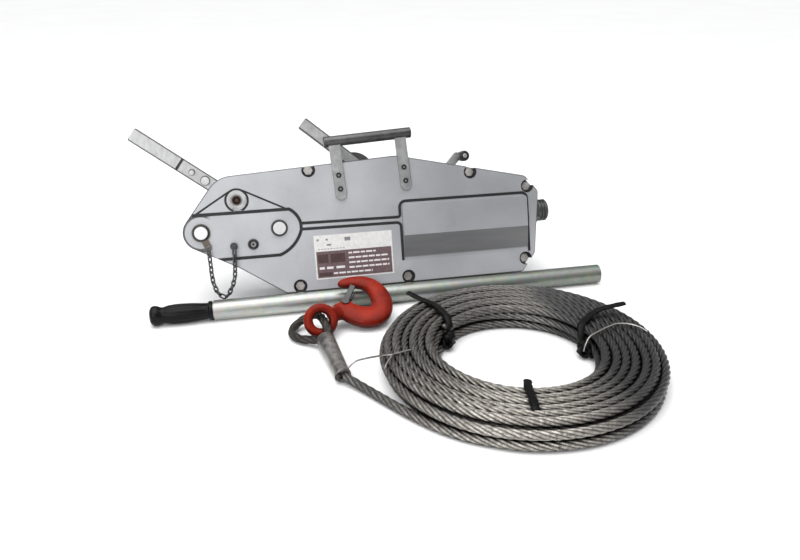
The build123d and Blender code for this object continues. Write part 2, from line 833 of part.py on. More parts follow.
def pin_chain():
    """The chain from the anchor pin's tab to the screw eye, hanging in a narrow loop."""
    start = MID.from_local_coords((-196.5, 70.5, HALF_DEPTH + PAD + 1.0))
    end = MID.from_local_coords((*CHAIN_EYE_AT, HALF_DEPTH + PAD + 3.9))
    low_z = 23.0
    low = Vector(start.X * 0.55 + end.X * 0.45, start.Y - 2, low_z)
    with BuildLine(Plane.XY, mode=Mode.PRIVATE) as hang:
        Spline(start + Vector(0, -5, -3), low, end + Vector(0, -5, -3),
               tangents=[(0.1, 0, -1), (0.12, 0, 1)])
    count = 22
    with BuildPart() as chain:
        for index in range(count):
            place = (index + 0.5) / count
            centre = hang.line @ place
            along = hang.line % place
            with BuildSketch(chain_link_plane(centre, along, index % 2)):
                SlotOverall(8.6, 4.6)
                SlotOverall(5.8, 1.9, mode=Mode.SUBTRACT)
            extrude(amount=0.65, both=True)
    return chain


# ---------------------------------------------------------------- operating handle
def along_x(x, y, z):
    """A plane square to X."""
    return Plane(origin=(x, y, z), x_dir=(0, 1, 0), z_dir=(1, 0, 0))


INNER_R = 11.2
INNER_RIGHT = 200.0
SOCKET_R, SOCKET_DEEP = 12.3, 118.0  # where the tube slips on a lever
GRIP_LEFT = -315.0


def handle_tube():
    """The outer tube of the operating handle, open at its right end."""
    with BuildPart() as tube:
        with BuildSketch(along_x(TUBE_LEFT, TUBE_Y, TUBE_R)):
            Circle(TUBE_R)
            Circle(INNER_R + 0.3, mode=Mode.SUBTRACT)
        extrude(amount=TUBE_RIGHT - TUBE_LEFT)
        with BuildSketch(along_x(TUBE_RIGHT, TUBE_Y, TUBE_R)):
            Circle(SOCKET_R)
        extrude(amount=-SOCKET_DEEP, mode=Mode.SUBTRACT)
    return tube


def handle_inner_tube():
    """The inner tube that draws out to the left with the grip on its end."""
    with BuildPart() as tube:
        with BuildSketch(along_x(GRIP_LEFT + 8, TUBE_Y, TUBE_R)):
            Circle(9.2)
            Circle(7.4, mode=Mode.SUBTRACT)
        extrude(amount=TUBE_LEFT - 1.5 - GRIP_LEFT - 8)
        with BuildSketch(along_x(TUBE_LEFT - 1.5, TUBE_Y, TUBE_R)):
            Circle(INNER_R)
            Circle(7.4, mode=Mode.SUBTRACT)
        extrude(amount=INNER_RIGHT - TUBE_LEFT + 1.5)
    return tube


def handle_grip():
    """The rubber grip: a barrel shape with a bulb at its end and a flange at the tube."""
    stations = [(0, 9), (3, 12.6), (8, 13.4), (13, 12.2), (17, 10.6), (24, 12.2), (38, 13.0),
                (56, 12.2), (70, 10.9), (76, 10.8), (77, 12.6), (81.5, 12.6)]
    with BuildPart() as grip:
        axis = Plane(origin=(GRIP_LEFT, TUBE_Y, TUBE_R), x_dir=(1, 0, 0), z_dir=(0, -1, 0))
        with BuildSketch(axis):
            with BuildLine():
                Polyline((0, 0), *stations, (stations[-1][0], 0), close=True)
            make_face()
        revolve(axis=Axis((GRIP_LEFT, TUBE_Y, TUBE_R), (1, 0, 0)))
        with BuildSketch(along_x(GRIP_LEFT + 8, TUBE_Y, TUBE_R)):
            Circle(9.2)
        extrude(amount=90, mode=Mode.SUBTRACT)
    return grip


# ---------------------------------------------------------------- hook
HOOK_TILT = radians(25)
HOOK = Plane(
    origin=(-35.0, -52.0, 9.6), x_dir=(1, 0, 0), z_dir=(0, -sin(HOOK_TILT), cos(HOOK_TILT))
)
HOOK_HALF = 8.0
EYE_TILT = radians(60)
EYE_AT = Vector(-98.5, -50.0, 22.5)
EYE = Plane(origin=EYE_AT, x_dir=(1, 0, 0), z_dir=(0, -sin(EYE_TILT), cos(EYE_TILT)))
EYE_R, EYE_WIRE_R = 16.0, 6.0
LATCH_AT = (-27.0, 37.5)


def hook():
    """The forged hook: an open bowl, a neck and a round eye turned up to face the front."""
    outer = [(-31, 75), (-26, 81), (-10, 82), (5, 84), (18, 80), (29, 67), (35, 49), (35, 31), (30, 16),
             (18, 3), (5, -3), (-8, -3), (-17, 3), (-25, 11), (-33, 14), (-46, 11)]
    inner = [(-46, 36), (-36, 42), (-27, 41.5), (-14, 36.5), (-8, 31), (-2, 28), (5, 30.5), (8, 40),
             (6.5, 51), (0, 61), (-8, 64.5), (-20, 65)]
    with BuildPart() as body:
        with BuildSketch(HOOK.offset(-HOOK_HALF)):
            with BuildLine():
                Spline(*outer)
                Line(outer[-1], inner[0])
                Spline(*inner)
                Line(inner[-1], outer[0])
            make_face()
        extrude(amount=2 * HOOK_HALF)
        chamfer(body.edges().filter_by(lambda e: e.length > 150), 2.5)
        with BuildSketch(HOOK.offset(-HOOK_HALF - 1)):
            with Locations(LATCH_AT):
                Circle(1.5 + RUN)
        extrude(amount=2 * HOOK_HALF + 2, mode=Mode.SUBTRACT)
    neck_from = HOOK.from_local_coords((-41, 23.5, 0))
    neck_to = EYE.from_local_coords((EYE_R * 0.86, EYE_R * 0.5, 0))
    towards = neck_to - neck_from
    with BuildPart() as eye:
        with BuildSketch(Plane(origin=EYE_AT, x_dir=EYE.z_dir, z_dir=EYE.y_dir)):
            with Locations((0, EYE_R)):
                Circle(EYE_WIRE_R)
        revolve(axis=Axis(EYE_AT, EYE.z_dir))
        with BuildSketch(Plane(origin=neck_from, z_dir=towards)):
            Circle(9)
        with BuildSketch(Plane(origin=neck_to, z_dir=towards)):
            Circle(6)
        loft()
        add(body.part)
    return eye


def hook_latch():
    """The sprung sheet latch that closes the hook's throat."""
    with BuildPart() as latch:
        with BuildSketch(HOOK.offset(-HOOK_HALF - 1.6)):
            with Locations(LATCH_AT):
                Circle(5)
            with BuildLine():
                Polyline(LATCH_AT, (-13.5, 62))
            trace(line_width=7)
        extrude(amount=2 * HOOK_HALF + 3.2)
        with BuildSketch(HOOK.offset(-HOOK_HALF - 0.4)):
            with Locations(LATCH_AT):
                Circle(16)
        extrude(amount=2 * HOOK_HALF + 0.8, mode=Mode.SUBTRACT)
        with BuildSketch(HOOK.offset(-HOOK_HALF + 2)):
            with BuildLine():
                Polyline((-19, 51), (-9, 72))
            trace(line_width=14)
        extrude(amount=2 * HOOK_HALF - 4, mode=Mode.SUBTRACT)
    return latch


# ---------------------------------------------------------------- rope
FERRULE_A, FERRULE_B = Vector(-97, -83, 12.0), Vector(-88, -166.5, 9.8)
FERRULE_DIR = (FERRULE_B - FERRULE_A).normalized()


def ferrule():
    """The pressed sleeve that closes the rope's eye, tapering to the single rope."""
    with BuildPart() as sleeve:
        with BuildSketch(Plane(origin=FERRULE_A, z_dir=FERRULE_DIR)):
            Circle(11.7)
        with BuildSketch(Plane(origin=FERRULE_B - FERRULE_DIR * 4, z_dir=FERRULE_DIR)):
            Circle(9.3)
        loft()
        with BuildSketch(Plane(origin=FERRULE_B - FERRULE_DIR * 4, z_dir=FERRULE_DIR)):
            Circle(9.6)
        extrude(amount=4)
    return sleeve


def arc_radii(points):
    """A radius for each inner corner, as large as its two runs allow."""
    radii = []
    for before, here, after in zip(points, points[1:], points[2:]):
        run_in, run_out = Vector(*here) - Vector(*before), Vector(*after) - Vector(*here)
        turn = radians(run_in.get_angle(run_out))
        radii.append(0.45 * min(run_in.length, run_out.length) / tan(turn / 2))
    return radii


def rope_tube(points, name):
    """A round rope along straight runs joined by tangent arcs."""
    radii = arc_radii(points)
    with BuildPart() as tube:
        with BuildLine() as path:
            FilletPolyline(*points, radius=radii)
        start = path.line @ 0
        with BuildSketch(Plane(origin=start, z_dir=path.line % 0)):
            Circle(ROPE_R)
        sweep()
    length = sum(edge.length for edge in path.edges())
    expected = pi * ROPE_R**2 * length
    print(name, "radii", [round(r) for r in radii], "length", round(length),
          "volume ratio", round(tube.part.volume / expected, 4))
    return tube


ROPE_EYE_ROUTE = [
    (-102.7, -82.8, 12.0), (-110.0, -75.0, 10.0), (-125.0, -67.0, 7.0), (-136.0, -52.0, 6.0),
    (-134.0, -34.0, 7.0), (-120.0, -22.0, 12.0), (-105.0, -25.0, 19.5), (-98.0, -39.0, 24.5),
    (-94.5, -56.0, 23.8), (-91.5, -71.0, 17.6), (-91.3, -82.8, 12.0),
]

# the rope from the ferrule to where it joins the coil's outer turn
LEAD_ROUTE = [
    (-88.0, -166.5, 9.8), (-79.5, -177.5, 8.0), (-66.5, -195.0, 6.4), (-51.0, -219.5, 6.0),
    (-35.5, -244.5, 6.0), (-14.5, -273.5, 6.0), (8.0, -297.5, 6.0), (33.0, -315.0, 6.0),
]
COIL_AT = (124.0, -176.5)
COIL_OUT, COIL_IN = 174.0, 85.0
COIL_LOW, COIL_HIGH = 0.4, 34.4


def rope_coil():
    """The outer shape of the coil of rope."""
    with BuildPart() as coil:
        with BuildSketch(Plane.XY.offset(COIL_LOW)):
            with Locations(COIL_AT):
                Circle(COIL_OUT)
                Circle(COIL_IN, mode=Mode.SUBTRACT)
        extrude(amount=COIL_HIGH - COIL_LOW)
        fillet(coil.edges().filter_by(GeomType.CIRCLE), 5)
    return coil


def rope_tie(angle, inner, outer, width):
    """A strap round part of the coil's section, at an angle round the coil."""
    out = Vector(cos(radians(angle)), sin(radians(angle)), 0)
    across = Plane(origin=(*COIL_AT, 0), x_dir=out, z_dir=out.cross(Vector(0, 0, 1)))
    thick = 1.8
    with BuildPart() as tie:
        with BuildSketch(across.offset(-width / 2)):
            with Locations(((inner + outer) / 2, (COIL_HIGH + thick) / 2)):
                RectangleRounded(outer - inner + 2 * thick, COIL_HIGH + thick, 4)
            with Locations(((inner + outer) / 2, (COIL_HIGH + COIL_LOW) / 2)):
                RectangleRounded(outer - inner, COIL_HIGH - COIL_LOW, 3, mode=Mode.SUBTRACT)
        extrude(amount=width)
    return tie


def tie_wire():
    """The thin wire from the ferrule's end to the coil."""
    route = [(-84.0, -160.0, 11.0), (-72.0, -152.0, 19.0), (-58.0, -151.0, 27.0), (-45.0, -155.0, 33.0)]
    with BuildPart() as wire:
        with BuildLine() as path:
            FilletPolyline(*route, radius=arc_radii(route))
        with BuildSketch(Plane(origin=path.line @ 0, z_dir=path.line % 0)):
            Circle(0.8)
        sweep()
    return wire


PIECES = {
    "casing_front_shell": lambda: casing_shell(1),
    "casing_rear_shell": lambda: casing_shell(-1),
    "casing_bolts": casing_bolts,
    "casing_nuts": casing_nuts,
    "side_plate_front": lambda: side_plate(1),
    "side_plate_rear": lambda: side_plate(-1),
    "anchor_pin": anchor_pin,
    "fixed_pins": fixed_pins,
    "cheek_screw": lambda: face_screw((-138.0, 70.0), 6.5, HALF_DEPTH + PAD, 3.0),
    "chain_eyelet": chain_eyelet,
    "pin_chain": pin_chain,
    "forward_lever_hub": forward_lever_hub,
    "forward_lever_bar": forward_lever_bar,
    "shear_pins": shear_pins,
    "crank_shaft": crank_shaft,
    "crank_bushes": crank_bushes,
    "crank_arm_front": lambda: crank_arm(1),
    "crank_arm_rear": lambda: crank_arm(-1),
    "rear_jaw_carriage": lambda: jaw_carriage(REAR_JAW_X),
    "rear_jaw_lower": lambda: jaw_block(REAR_JAW_X, False),
    "rear_jaw_upper": lambda: jaw_block(REAR_JAW_X, True),
    "rear_drive_link": lambda: drive_link(1, REAR_JAW_X),
    "front_jaw_carriage": lambda: jaw_carriage(FRONT_JAW_X),
    "front_jaw_lower": lambda: jaw_block(FRONT_JAW_X, False),
    "front_jaw_upper": lambda: jaw_block(FRONT_JAW_X, True),
    "front_drive_link": lambda: drive_link(-1, FRONT_JAW_X),
    "reverse_lever": reverse_lever,
    "reverse_shaft": reverse_shaft,
    "reverse_link": reverse_link,
    "release_lever": release_lever,
    "release_shaft": release_shaft,
    "release_knob": release_knob,
    "release_knob_screw": release_knob_screw,
    "carry_straps": carry_straps,
    "carry_grip": carry_grip,
    "strap_screws": strap_screws,
    "rope_guide": rope_guide,
    "outlet_guide": outlet_guide,
    "label_plate": label_plate,
    "handle_tube": handle_tube,
    "handle_inner_tube": handle_inner_tube,
    "handle_grip": handle_grip,
    "hook": hook,
    "hook_latch": hook_latch,
    "ferrule": ferrule,
    "rope_eye": lambda: rope_tube(ROPE_EYE_ROUTE, "rope_eye"),
    "rope_lead": lambda: rope_tube(LEAD_ROUTE, "rope_lead"),
    "rope_coil": rope_coil,
    "rope_tie_left": lambda: rope_tie(128, COIL_IN, COIL_OUT, 14),
    "rope_tie_right": lambda: rope_tie(18, COIL_IN, COIL_OUT, 14),
    "rope_tie_front": lambda: rope_tie(253, COIL_IN, 138, 9),
    "tie_wire": tie_wire,
}

for node, build in PIECES.items():
    save(build(), node)
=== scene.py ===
"""Looks of the rope pulling hoist: its rope, ties, hook, small fittings and finishes."""

import json
from math import atan2, copysign, cos, pi, radians, sin, sqrt

import bpy
from mathutils import Matrix, Vector
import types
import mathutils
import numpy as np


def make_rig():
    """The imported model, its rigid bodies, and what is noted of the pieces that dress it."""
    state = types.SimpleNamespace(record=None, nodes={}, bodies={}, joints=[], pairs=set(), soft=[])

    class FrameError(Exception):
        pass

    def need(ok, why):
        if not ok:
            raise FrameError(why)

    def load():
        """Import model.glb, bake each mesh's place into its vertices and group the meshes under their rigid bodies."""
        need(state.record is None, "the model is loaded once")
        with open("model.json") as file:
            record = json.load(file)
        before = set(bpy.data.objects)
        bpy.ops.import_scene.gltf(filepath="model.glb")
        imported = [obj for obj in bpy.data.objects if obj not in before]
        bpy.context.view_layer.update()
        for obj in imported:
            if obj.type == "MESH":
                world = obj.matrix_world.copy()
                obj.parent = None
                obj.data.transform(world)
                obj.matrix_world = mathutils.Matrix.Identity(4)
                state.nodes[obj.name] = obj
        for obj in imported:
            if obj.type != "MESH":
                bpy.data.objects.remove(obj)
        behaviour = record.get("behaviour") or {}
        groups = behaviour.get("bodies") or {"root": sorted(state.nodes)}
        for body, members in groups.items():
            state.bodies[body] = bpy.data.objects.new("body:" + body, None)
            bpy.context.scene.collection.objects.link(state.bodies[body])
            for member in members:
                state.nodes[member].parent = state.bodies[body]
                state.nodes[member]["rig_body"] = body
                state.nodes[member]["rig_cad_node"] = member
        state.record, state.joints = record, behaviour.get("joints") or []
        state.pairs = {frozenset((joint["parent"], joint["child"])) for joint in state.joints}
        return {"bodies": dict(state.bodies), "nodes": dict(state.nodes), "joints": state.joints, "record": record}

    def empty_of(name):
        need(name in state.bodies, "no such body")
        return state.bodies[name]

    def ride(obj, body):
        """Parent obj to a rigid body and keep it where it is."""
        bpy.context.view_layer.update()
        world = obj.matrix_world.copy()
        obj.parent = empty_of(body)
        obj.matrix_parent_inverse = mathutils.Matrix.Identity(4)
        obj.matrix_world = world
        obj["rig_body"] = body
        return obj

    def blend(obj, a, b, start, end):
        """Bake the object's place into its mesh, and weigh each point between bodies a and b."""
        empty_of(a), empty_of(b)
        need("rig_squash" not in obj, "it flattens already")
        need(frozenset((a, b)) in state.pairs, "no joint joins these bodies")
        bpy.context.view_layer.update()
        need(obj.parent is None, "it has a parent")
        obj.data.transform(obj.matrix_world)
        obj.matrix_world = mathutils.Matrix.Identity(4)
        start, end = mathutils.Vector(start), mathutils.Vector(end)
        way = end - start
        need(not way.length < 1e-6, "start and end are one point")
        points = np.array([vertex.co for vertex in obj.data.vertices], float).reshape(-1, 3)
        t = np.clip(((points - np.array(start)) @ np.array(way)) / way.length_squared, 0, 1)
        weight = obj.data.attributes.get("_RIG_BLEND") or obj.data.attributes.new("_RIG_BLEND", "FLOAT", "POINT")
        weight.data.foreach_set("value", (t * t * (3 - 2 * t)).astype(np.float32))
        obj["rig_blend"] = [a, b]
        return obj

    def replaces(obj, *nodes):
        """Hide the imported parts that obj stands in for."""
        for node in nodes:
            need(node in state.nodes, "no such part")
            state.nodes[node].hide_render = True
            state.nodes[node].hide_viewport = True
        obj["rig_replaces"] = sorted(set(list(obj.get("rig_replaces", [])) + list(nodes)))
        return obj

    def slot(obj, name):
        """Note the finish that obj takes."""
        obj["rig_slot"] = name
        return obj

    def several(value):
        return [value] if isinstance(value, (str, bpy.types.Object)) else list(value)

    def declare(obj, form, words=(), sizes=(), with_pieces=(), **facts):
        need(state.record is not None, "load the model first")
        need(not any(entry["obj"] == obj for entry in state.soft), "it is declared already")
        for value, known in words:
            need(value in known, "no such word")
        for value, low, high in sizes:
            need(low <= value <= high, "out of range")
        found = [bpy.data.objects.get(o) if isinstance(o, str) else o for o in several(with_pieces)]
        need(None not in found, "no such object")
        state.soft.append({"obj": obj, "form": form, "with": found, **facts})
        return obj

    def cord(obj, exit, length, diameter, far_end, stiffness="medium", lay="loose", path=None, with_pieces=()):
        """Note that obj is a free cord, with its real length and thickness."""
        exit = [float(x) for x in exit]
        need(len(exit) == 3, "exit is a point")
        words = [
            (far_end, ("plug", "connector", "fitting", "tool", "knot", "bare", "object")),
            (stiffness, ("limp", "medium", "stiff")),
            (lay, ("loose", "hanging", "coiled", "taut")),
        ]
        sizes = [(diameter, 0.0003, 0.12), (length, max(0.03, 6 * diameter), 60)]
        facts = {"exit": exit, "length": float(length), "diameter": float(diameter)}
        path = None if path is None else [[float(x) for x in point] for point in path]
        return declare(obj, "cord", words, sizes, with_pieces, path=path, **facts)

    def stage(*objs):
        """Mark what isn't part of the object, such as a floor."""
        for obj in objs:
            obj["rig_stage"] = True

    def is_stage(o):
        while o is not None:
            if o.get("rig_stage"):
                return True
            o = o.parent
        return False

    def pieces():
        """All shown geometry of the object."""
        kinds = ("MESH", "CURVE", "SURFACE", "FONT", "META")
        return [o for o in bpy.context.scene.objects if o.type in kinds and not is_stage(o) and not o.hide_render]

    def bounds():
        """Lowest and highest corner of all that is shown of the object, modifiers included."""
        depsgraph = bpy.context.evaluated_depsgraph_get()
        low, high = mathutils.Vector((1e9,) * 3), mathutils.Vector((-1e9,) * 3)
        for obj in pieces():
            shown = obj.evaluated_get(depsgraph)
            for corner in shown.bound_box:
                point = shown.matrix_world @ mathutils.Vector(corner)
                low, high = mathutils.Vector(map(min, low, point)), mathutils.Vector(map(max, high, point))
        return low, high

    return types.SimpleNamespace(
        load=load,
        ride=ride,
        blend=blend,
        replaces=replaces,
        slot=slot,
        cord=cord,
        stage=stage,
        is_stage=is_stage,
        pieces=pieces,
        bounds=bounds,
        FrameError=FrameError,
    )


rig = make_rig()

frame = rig.load()
CAD_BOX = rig.bounds()
NODES = frame["nodes"]

MM = 0.001

# -------- the casing's leaning plane
# millimetres: the casing leans back on its handle tube and touches the floor REACH behind it
TUBE_R, TUBE_Y, REST_GAP, REACH = 13.5, 28.0, 0.2, 85.0
CASING_X, HALF_DEPTH = -35.0, 44.0
LEAN = 2 * atan2(TUBE_R + REST_GAP, REACH)
FRONT = Vector((0, -cos(LEAN), sin(LEAN)))
UP = Vector((0, sin(LEAN), cos(LEAN)))
FACE_ORIGIN = Vector((CASING_X, TUBE_Y + REACH, 0)) + FRONT * HALF_DEPTH


def on_face(x, high, depth):
    """A point in metres from its place along the casing, up its face and towards its front."""
    return (FACE_ORIGIN + Vector((x, 0, 0)) + UP * high + FRONT * depth) * MM


def tilted(origin, angle):
    """A frame in millimetres whose plane is turned up about X, as a matrix."""
    return Matrix.Translation(origin) @ Matrix.Rotation(angle, 4, "X")


# -------- camera and light
CAMERA_AT = Vector((-0.1865, -0.9065, 0.469))
CAMERA_YAW, CAMERA_PITCH = radians(12.6), radians(24.5)
CAMERA_LENS, CAMERA_SENSOR, CAMERA_CLIP = 34.0, 36.0, (0.02, 60.0)
# each softbox's name, place, size and power
SOFTBOXES = [
    ("overhead", (-0.25, -0.1, 1.9), (2.2, 1.6), 14),
    ("front", (-1.1, -1.8, 1.1), (1.2, 1), 17),
    ("right", (1.9, -0.5, 0.9), (0.9, 1.2), 2.5),
]
LIT_POINT = Vector((0, 0.03, 0.08))
SKY_POWER, SKY_SPREAD, SKY_WAY = 1.7, radians(70), Vector((0.15, 0.1, -1))
LOW_SHADE, HIGH_SHADE = (0.35, 0.355, 0.365, 1), (0.97, 0.975, 0.985, 1)
HIGH_SHADE_FROM, SURROUND_POWER = 0.75, 0.6


def link(item):
    """Puts an object in the scene."""
    bpy.context.scene.collection.objects.link(item)
    return item


def point_along(item, way):
    """Turns a lamp or a camera a way."""
    item.rotation_mode = "QUATERNION"
    item.rotation_quaternion = way.to_track_quat("-Z", "Y")


def add_camera():
    """The camera: in front, above and a little to the left."""
    data = bpy.data.cameras.new("camera")
    data.lens, data.sensor_width = CAMERA_LENS, CAMERA_SENSOR
    data.clip_start, data.clip_end = CAMERA_CLIP
    camera = link(bpy.data.objects.new("camera", data))
    camera.location = CAMERA_AT
    level = cos(CAMERA_PITCH)
    point_along(camera, Vector((sin(CAMERA_YAW) * level, cos(CAMERA_YAW) * level,
                                -sin(CAMERA_PITCH))))
    bpy.context.scene.camera = camera


def add_lamp(name, kind, power, way):
    """A lamp that shines one way."""
    data = bpy.data.lights.new(name, kind)
    data.energy = power
    lamp = link(bpy.data.objects.new(name, data))
    point_along(lamp, way)
    return lamp


def add_lights():
    """Soft sources, a broad sky and a pale surrounding."""
    for name, place, size, power in SOFTBOXES:
        lamp = add_lamp(name, "AREA", power, LIT_POINT - Vector(place))
        lamp.location = place
        lamp.data.shape = "RECTANGLE"
        lamp.data.size, lamp.data.size_y = size
    add_lamp("sky", "SUN", SKY_POWER, SKY_WAY).data.angle = SKY_SPREAD
    world = bpy.data.worlds.new("surroundings")
    bpy.context.scene.world = world
    world.use_nodes = True
    nodes, links = world.node_tree.nodes, world.node_tree.links
    height = nodes.new("ShaderNodeSeparateXYZ")
    links.new(nodes.new("ShaderNodeTexCoord").outputs["Generated"], height.inputs[0])
    shade = nodes.new("ShaderNodeValToRGB")
    links.new(height.outputs["Z"], shade.inputs["Fac"])
    stops = shade.color_ramp.elements
    stops[0].position, stops[0].color = 0.0, LOW_SHADE
    stops[1].position, stops[1].color = HIGH_SHADE_FROM, HIGH_SHADE
    links.new(shade.outputs["Color"], nodes["Background"].inputs["Color"])
    nodes["Background"].inputs["Strength"].default_value = SURROUND_POWER


# -------- shader building
BEVEL_SAMPLES, SHELTER_SAMPLES, RING_BLUR = 4, 6, 0.25


def rgba(colour):
    """A colour with its fourth number; anything else as it is."""
    return (*colour, 1) if isinstance(colour, tuple) and len(colour) == 3 else colour


def grey(value, warm=0.0):
    return (value * (1 + warm), value, value * (1 - warm))


class Finish:
    """One procedural material: a Principled shader and the nodes that drive it."""

    def __init__(self, name):
        self.material = bpy.data.materials.new(name)
        self.material.use_nodes = True
        self.tree = self.material.node_tree
        self.shader = self.tree.nodes["Principled BSDF"]
        self.coords = self.add("TexCoord").outputs["Object"]

    def add(self, kind, inputs=(), **settings):
        """A new node, with values or other nodes' outputs in its inputs."""
        node = self.tree.nodes.new("ShaderNode" + kind)
        for key, value in settings.items():
            setattr(node, key, value)
        for key, value in dict(inputs).items():
            self.put(node.inputs[key], value)
        return node

    def put(self, socket, value):
        if isinstance(value, bpy.types.NodeSocket):
            self.tree.links.new(value, socket)
        else:
            socket.default_value = value

    def set(self, **values):
        """Puts values in the shader's sockets: base_color is Base Color."""
        for key, value in values.items():
            socket = key.replace("_", " ").title().replace("Ior", "IOR")
            self.put(self.shader.inputs[socket], value)
        return self

    def noise(self, scale, detail, rough=0.55, stretch=None):
        vector = self.coords
        if stretch:
            vector = self.add("Mapping", {"Vector": self.coords, "Scale": stretch}).outputs[0]
        return self.add("TexNoise", {"Vector": vector, "Scale": scale, "Detail": detail,
                                     "Roughness": rough}).outputs["Fac"]

    def ramp(self, factor, low, high):
        """A colour ramp between two (place, colour) stops."""
        node = self.add("ValToRGB", {"Fac": factor})
        for element, (place, colour) in zip(node.color_ramp.elements, (low, high)):
            element.position = place
            element.color = rgba(colour)
        return node.outputs["Color"]

    def span(self, value, low, high, to_low=0.0, to_high=1.0):
        """A value carried evenly from one range to another, held at the ends."""
        return self.add("MapRange", {"Value": value, "From Min": low, "From Max": high,
                                     "To Min": to_low, "To Max": to_high}).outputs["Result"]

    def mm(self, value, low, high, to_low=0.0, to_high=1.0):
        """A length carried from a range in millimetres to another range."""
        return self.span(value, low * MM, high * MM, to_low, to_high)

    def math(self, operation, *values):
        return self.add("Math", dict(enumerate(values)), operation=operation).outputs[0]

    def fold(self, operation, values):
        """Several values joined by one operation."""
        total = values[0]
        for value in values[1:]:
            total = self.math(operation, total, value)
        return total

    def times(self, *values):
        return self.fold("MULTIPLY", values)

    def plus(self, *values):
        return self.fold("ADD", values)

    def largest(self, *values):
        return self.fold("MAXIMUM", values)

    def mix(self, factor, first, second, blend="MIX"):
        """The first colour at factor 0 and the second at 1."""
        return self.add("Mix", {0: factor, 6: rgba(first), 7: rgba(second)}, data_type="RGBA",
                        blend_type=blend).outputs[2]

    def along(self, vector, direction):
        """How far a vector goes along a direction."""
        node = self.add("VectorMath", {0: vector, 1: direction}, operation="DOT_PRODUCT")
        return node.outputs["Value"]

    def upward(self):
        """The up part of the surface's normal."""
        return self.add("SeparateXYZ", {0: self.add("NewGeometry").outputs["Normal"]}).outputs["Z"]

    def casing_place(self):
        """The surface point's place along the casing, up its face and towards its front."""
        place = self.add("VectorMath", {0: self.coords, 1: FACE_ORIGIN * MM}, operation="SUBTRACT")
        return [self.along(place.outputs[0], axis) for axis in (Vector((1, 0, 0)), UP, FRONT)]

    def distance_to(self, along, high, spots):
        """The distance, square to the casing's face, to the nearest of some spots."""
        flat = self.add("CombineXYZ", {0: along, 1: high}).outputs[0]
        nearest = None
        for x, y in spots:
            gap = self.add("VectorMath", {0: flat, 1: (x * MM, y * MM, 0)}, operation="DISTANCE")
            gap = gap.outputs["Value"]
            nearest = gap if nearest is None else self.math("MINIMUM", nearest, gap)
        return nearest

    def ring(self, distance, inner, outer):
        """1 where a distance lies between two radii in millimetres."""
        return self.times(self.mm(distance, inner - RING_BLUR, inner),
                          self.mm(distance, outer + RING_BLUR, outer))

    def edges(self, radius=0.0012, flat_at=0.995, sharp_at=0.9):
        """1 on a convex or concave edge and 0 on a flat, from the rounded normal."""
        rounded = self.add("Bevel", {"Radius": radius}, samples=BEVEL_SAMPLES).outputs[0]
        flat = self.add("NewGeometry").outputs["Normal"]
        return self.span(self.along(rounded, flat), flat_at, sharp_at)

    def shelter(self, distance, low, high):
        """1 in the open and 0 deep in a gap."""
        node = self.add("AmbientOcclusion", {"Distance": distance}, samples=SHELTER_SAMPLES)
        return self.span(node.outputs["AO"], low, high)

    def bump(self, height, strength, distance=0.0004, radius=0.0008):
        """Surface relief on top of slightly rounded edges."""
        inputs = {"Height": height, "Strength": strength, "Distance": distance}
        if radius:
            rounded = self.add("Bevel", {"Radius": radius}, samples=BEVEL_SAMPLES)
            inputs["Normal"] = rounded.outputs[0]
        self.put(self.shader.inputs["Normal"], self.add("Bump", inputs).outputs[0])
        return self


# -------- finishes
# places on the casing's face and sizes, in millimetres
ANCHOR_PIN_AT, FIXED_PIN_AT, PIN_HEAD_R = (-204.0, 90.0), (-102.0, 89.0), 10.3
CHEEK_R = 23.5
CRANK_AT = (-154.5, 129.5)
CHEEK_SCREW_AT, CHEEK_SCREW_R = (-138.0, 70.0), 6.5
BOLTS_AT = [(-57, 163), (169, 147), (252.5, 122), (245, 19), (71, 8), (-80, 8)]
SCALLOP_R = 9.2
STRAP_SCREWS_AT = [(-16, 135.3), (-17.1, 153.7), (74.9, 140.8), (73.7, 159.3)]
# where the casing's parts begin and end to show: depths, a height and a place along it
WINDOW_FROM, FACE_FROM = (44.5, 44.9), (43.0, 43.4)
CHAMFER_FROM, CHAMFER_TO = (42.6, 42.9), (44.3, 44.1)
SUNK_FROM, SUNK_TO = (32.2, 32.5), (43.6, 43.3)
GROOVE_FROM, GROOVE_FLOOR_TO = (40.5, 40.8), (42.7, 42.4)
BAND_UP_TO, NOSE_FROM = (66.5, 65.5), (-190.0, -196.0)

# the paint's own tones and dirt, then painted shade: for the right side, the edges, the window's slope, the chamfer,
# the pin rims, the grooves and the levers' outlines
PAINT_DULL, PAINT_BRIGHT = (0.4, 0.405, 0.425), (0.475, 0.48, 0.5)
PAINT_GRAIN, PAINT_EDGE_SHADE = (0.58, 0.585, 0.6), (0.1, 0.1, 0.105)
PAINT_SHADED, PAINT_DIRT = (0.17, 0.173, 0.18), (0.24, 0.23, 0.21)
BAND_SHADE_DARK, BAND_SHADE_LIGHT = (0.125, 0.127, 0.13), (0.175, 0.176, 0.178)
CHAMFER_SHADE, PIN_RIM_SHADE = (0.045, 0.045, 0.047), (0.05, 0.047, 0.045)
GROOVE_SHADE, OUTLINE_SHADE = (0.012, 0.012, 0.013), (0.015, 0.015, 0.015)


def plated(name, light, dark, rough, metallic=1.0, warm=0.0, scale=90.0, relief=0.12,
           edge=(0.2, 1.25)):
    """Bare or zinc-plated metal: clouded, finely scratched, with edges brighter as wear when the edge factor is above
    1 and darker as painted shade when it is below 1.
    """
    f = Finish(name)
    cloud = f.noise(scale, 6, 0.65)
    colour = f.ramp(f.times(f.plus(cloud, f.noise(scale / 9, 3)), 0.5),
                    (0.38, grey(dark, warm)), (0.6, grey(light, warm)))
    amount, shade = edge
    colour = f.mix(f.times(f.edges(), amount), colour, grey(light * shade))
    scratch = f.noise(500, 3, 0.6, (1, 0.06, 1))
    f.set(base_color=colour, metallic=metallic, roughness=f.span(cloud, 0.3, 0.7, *rough))
    return f.bump(f.plus(f.times(scratch, 0.5), cloud), relief).material


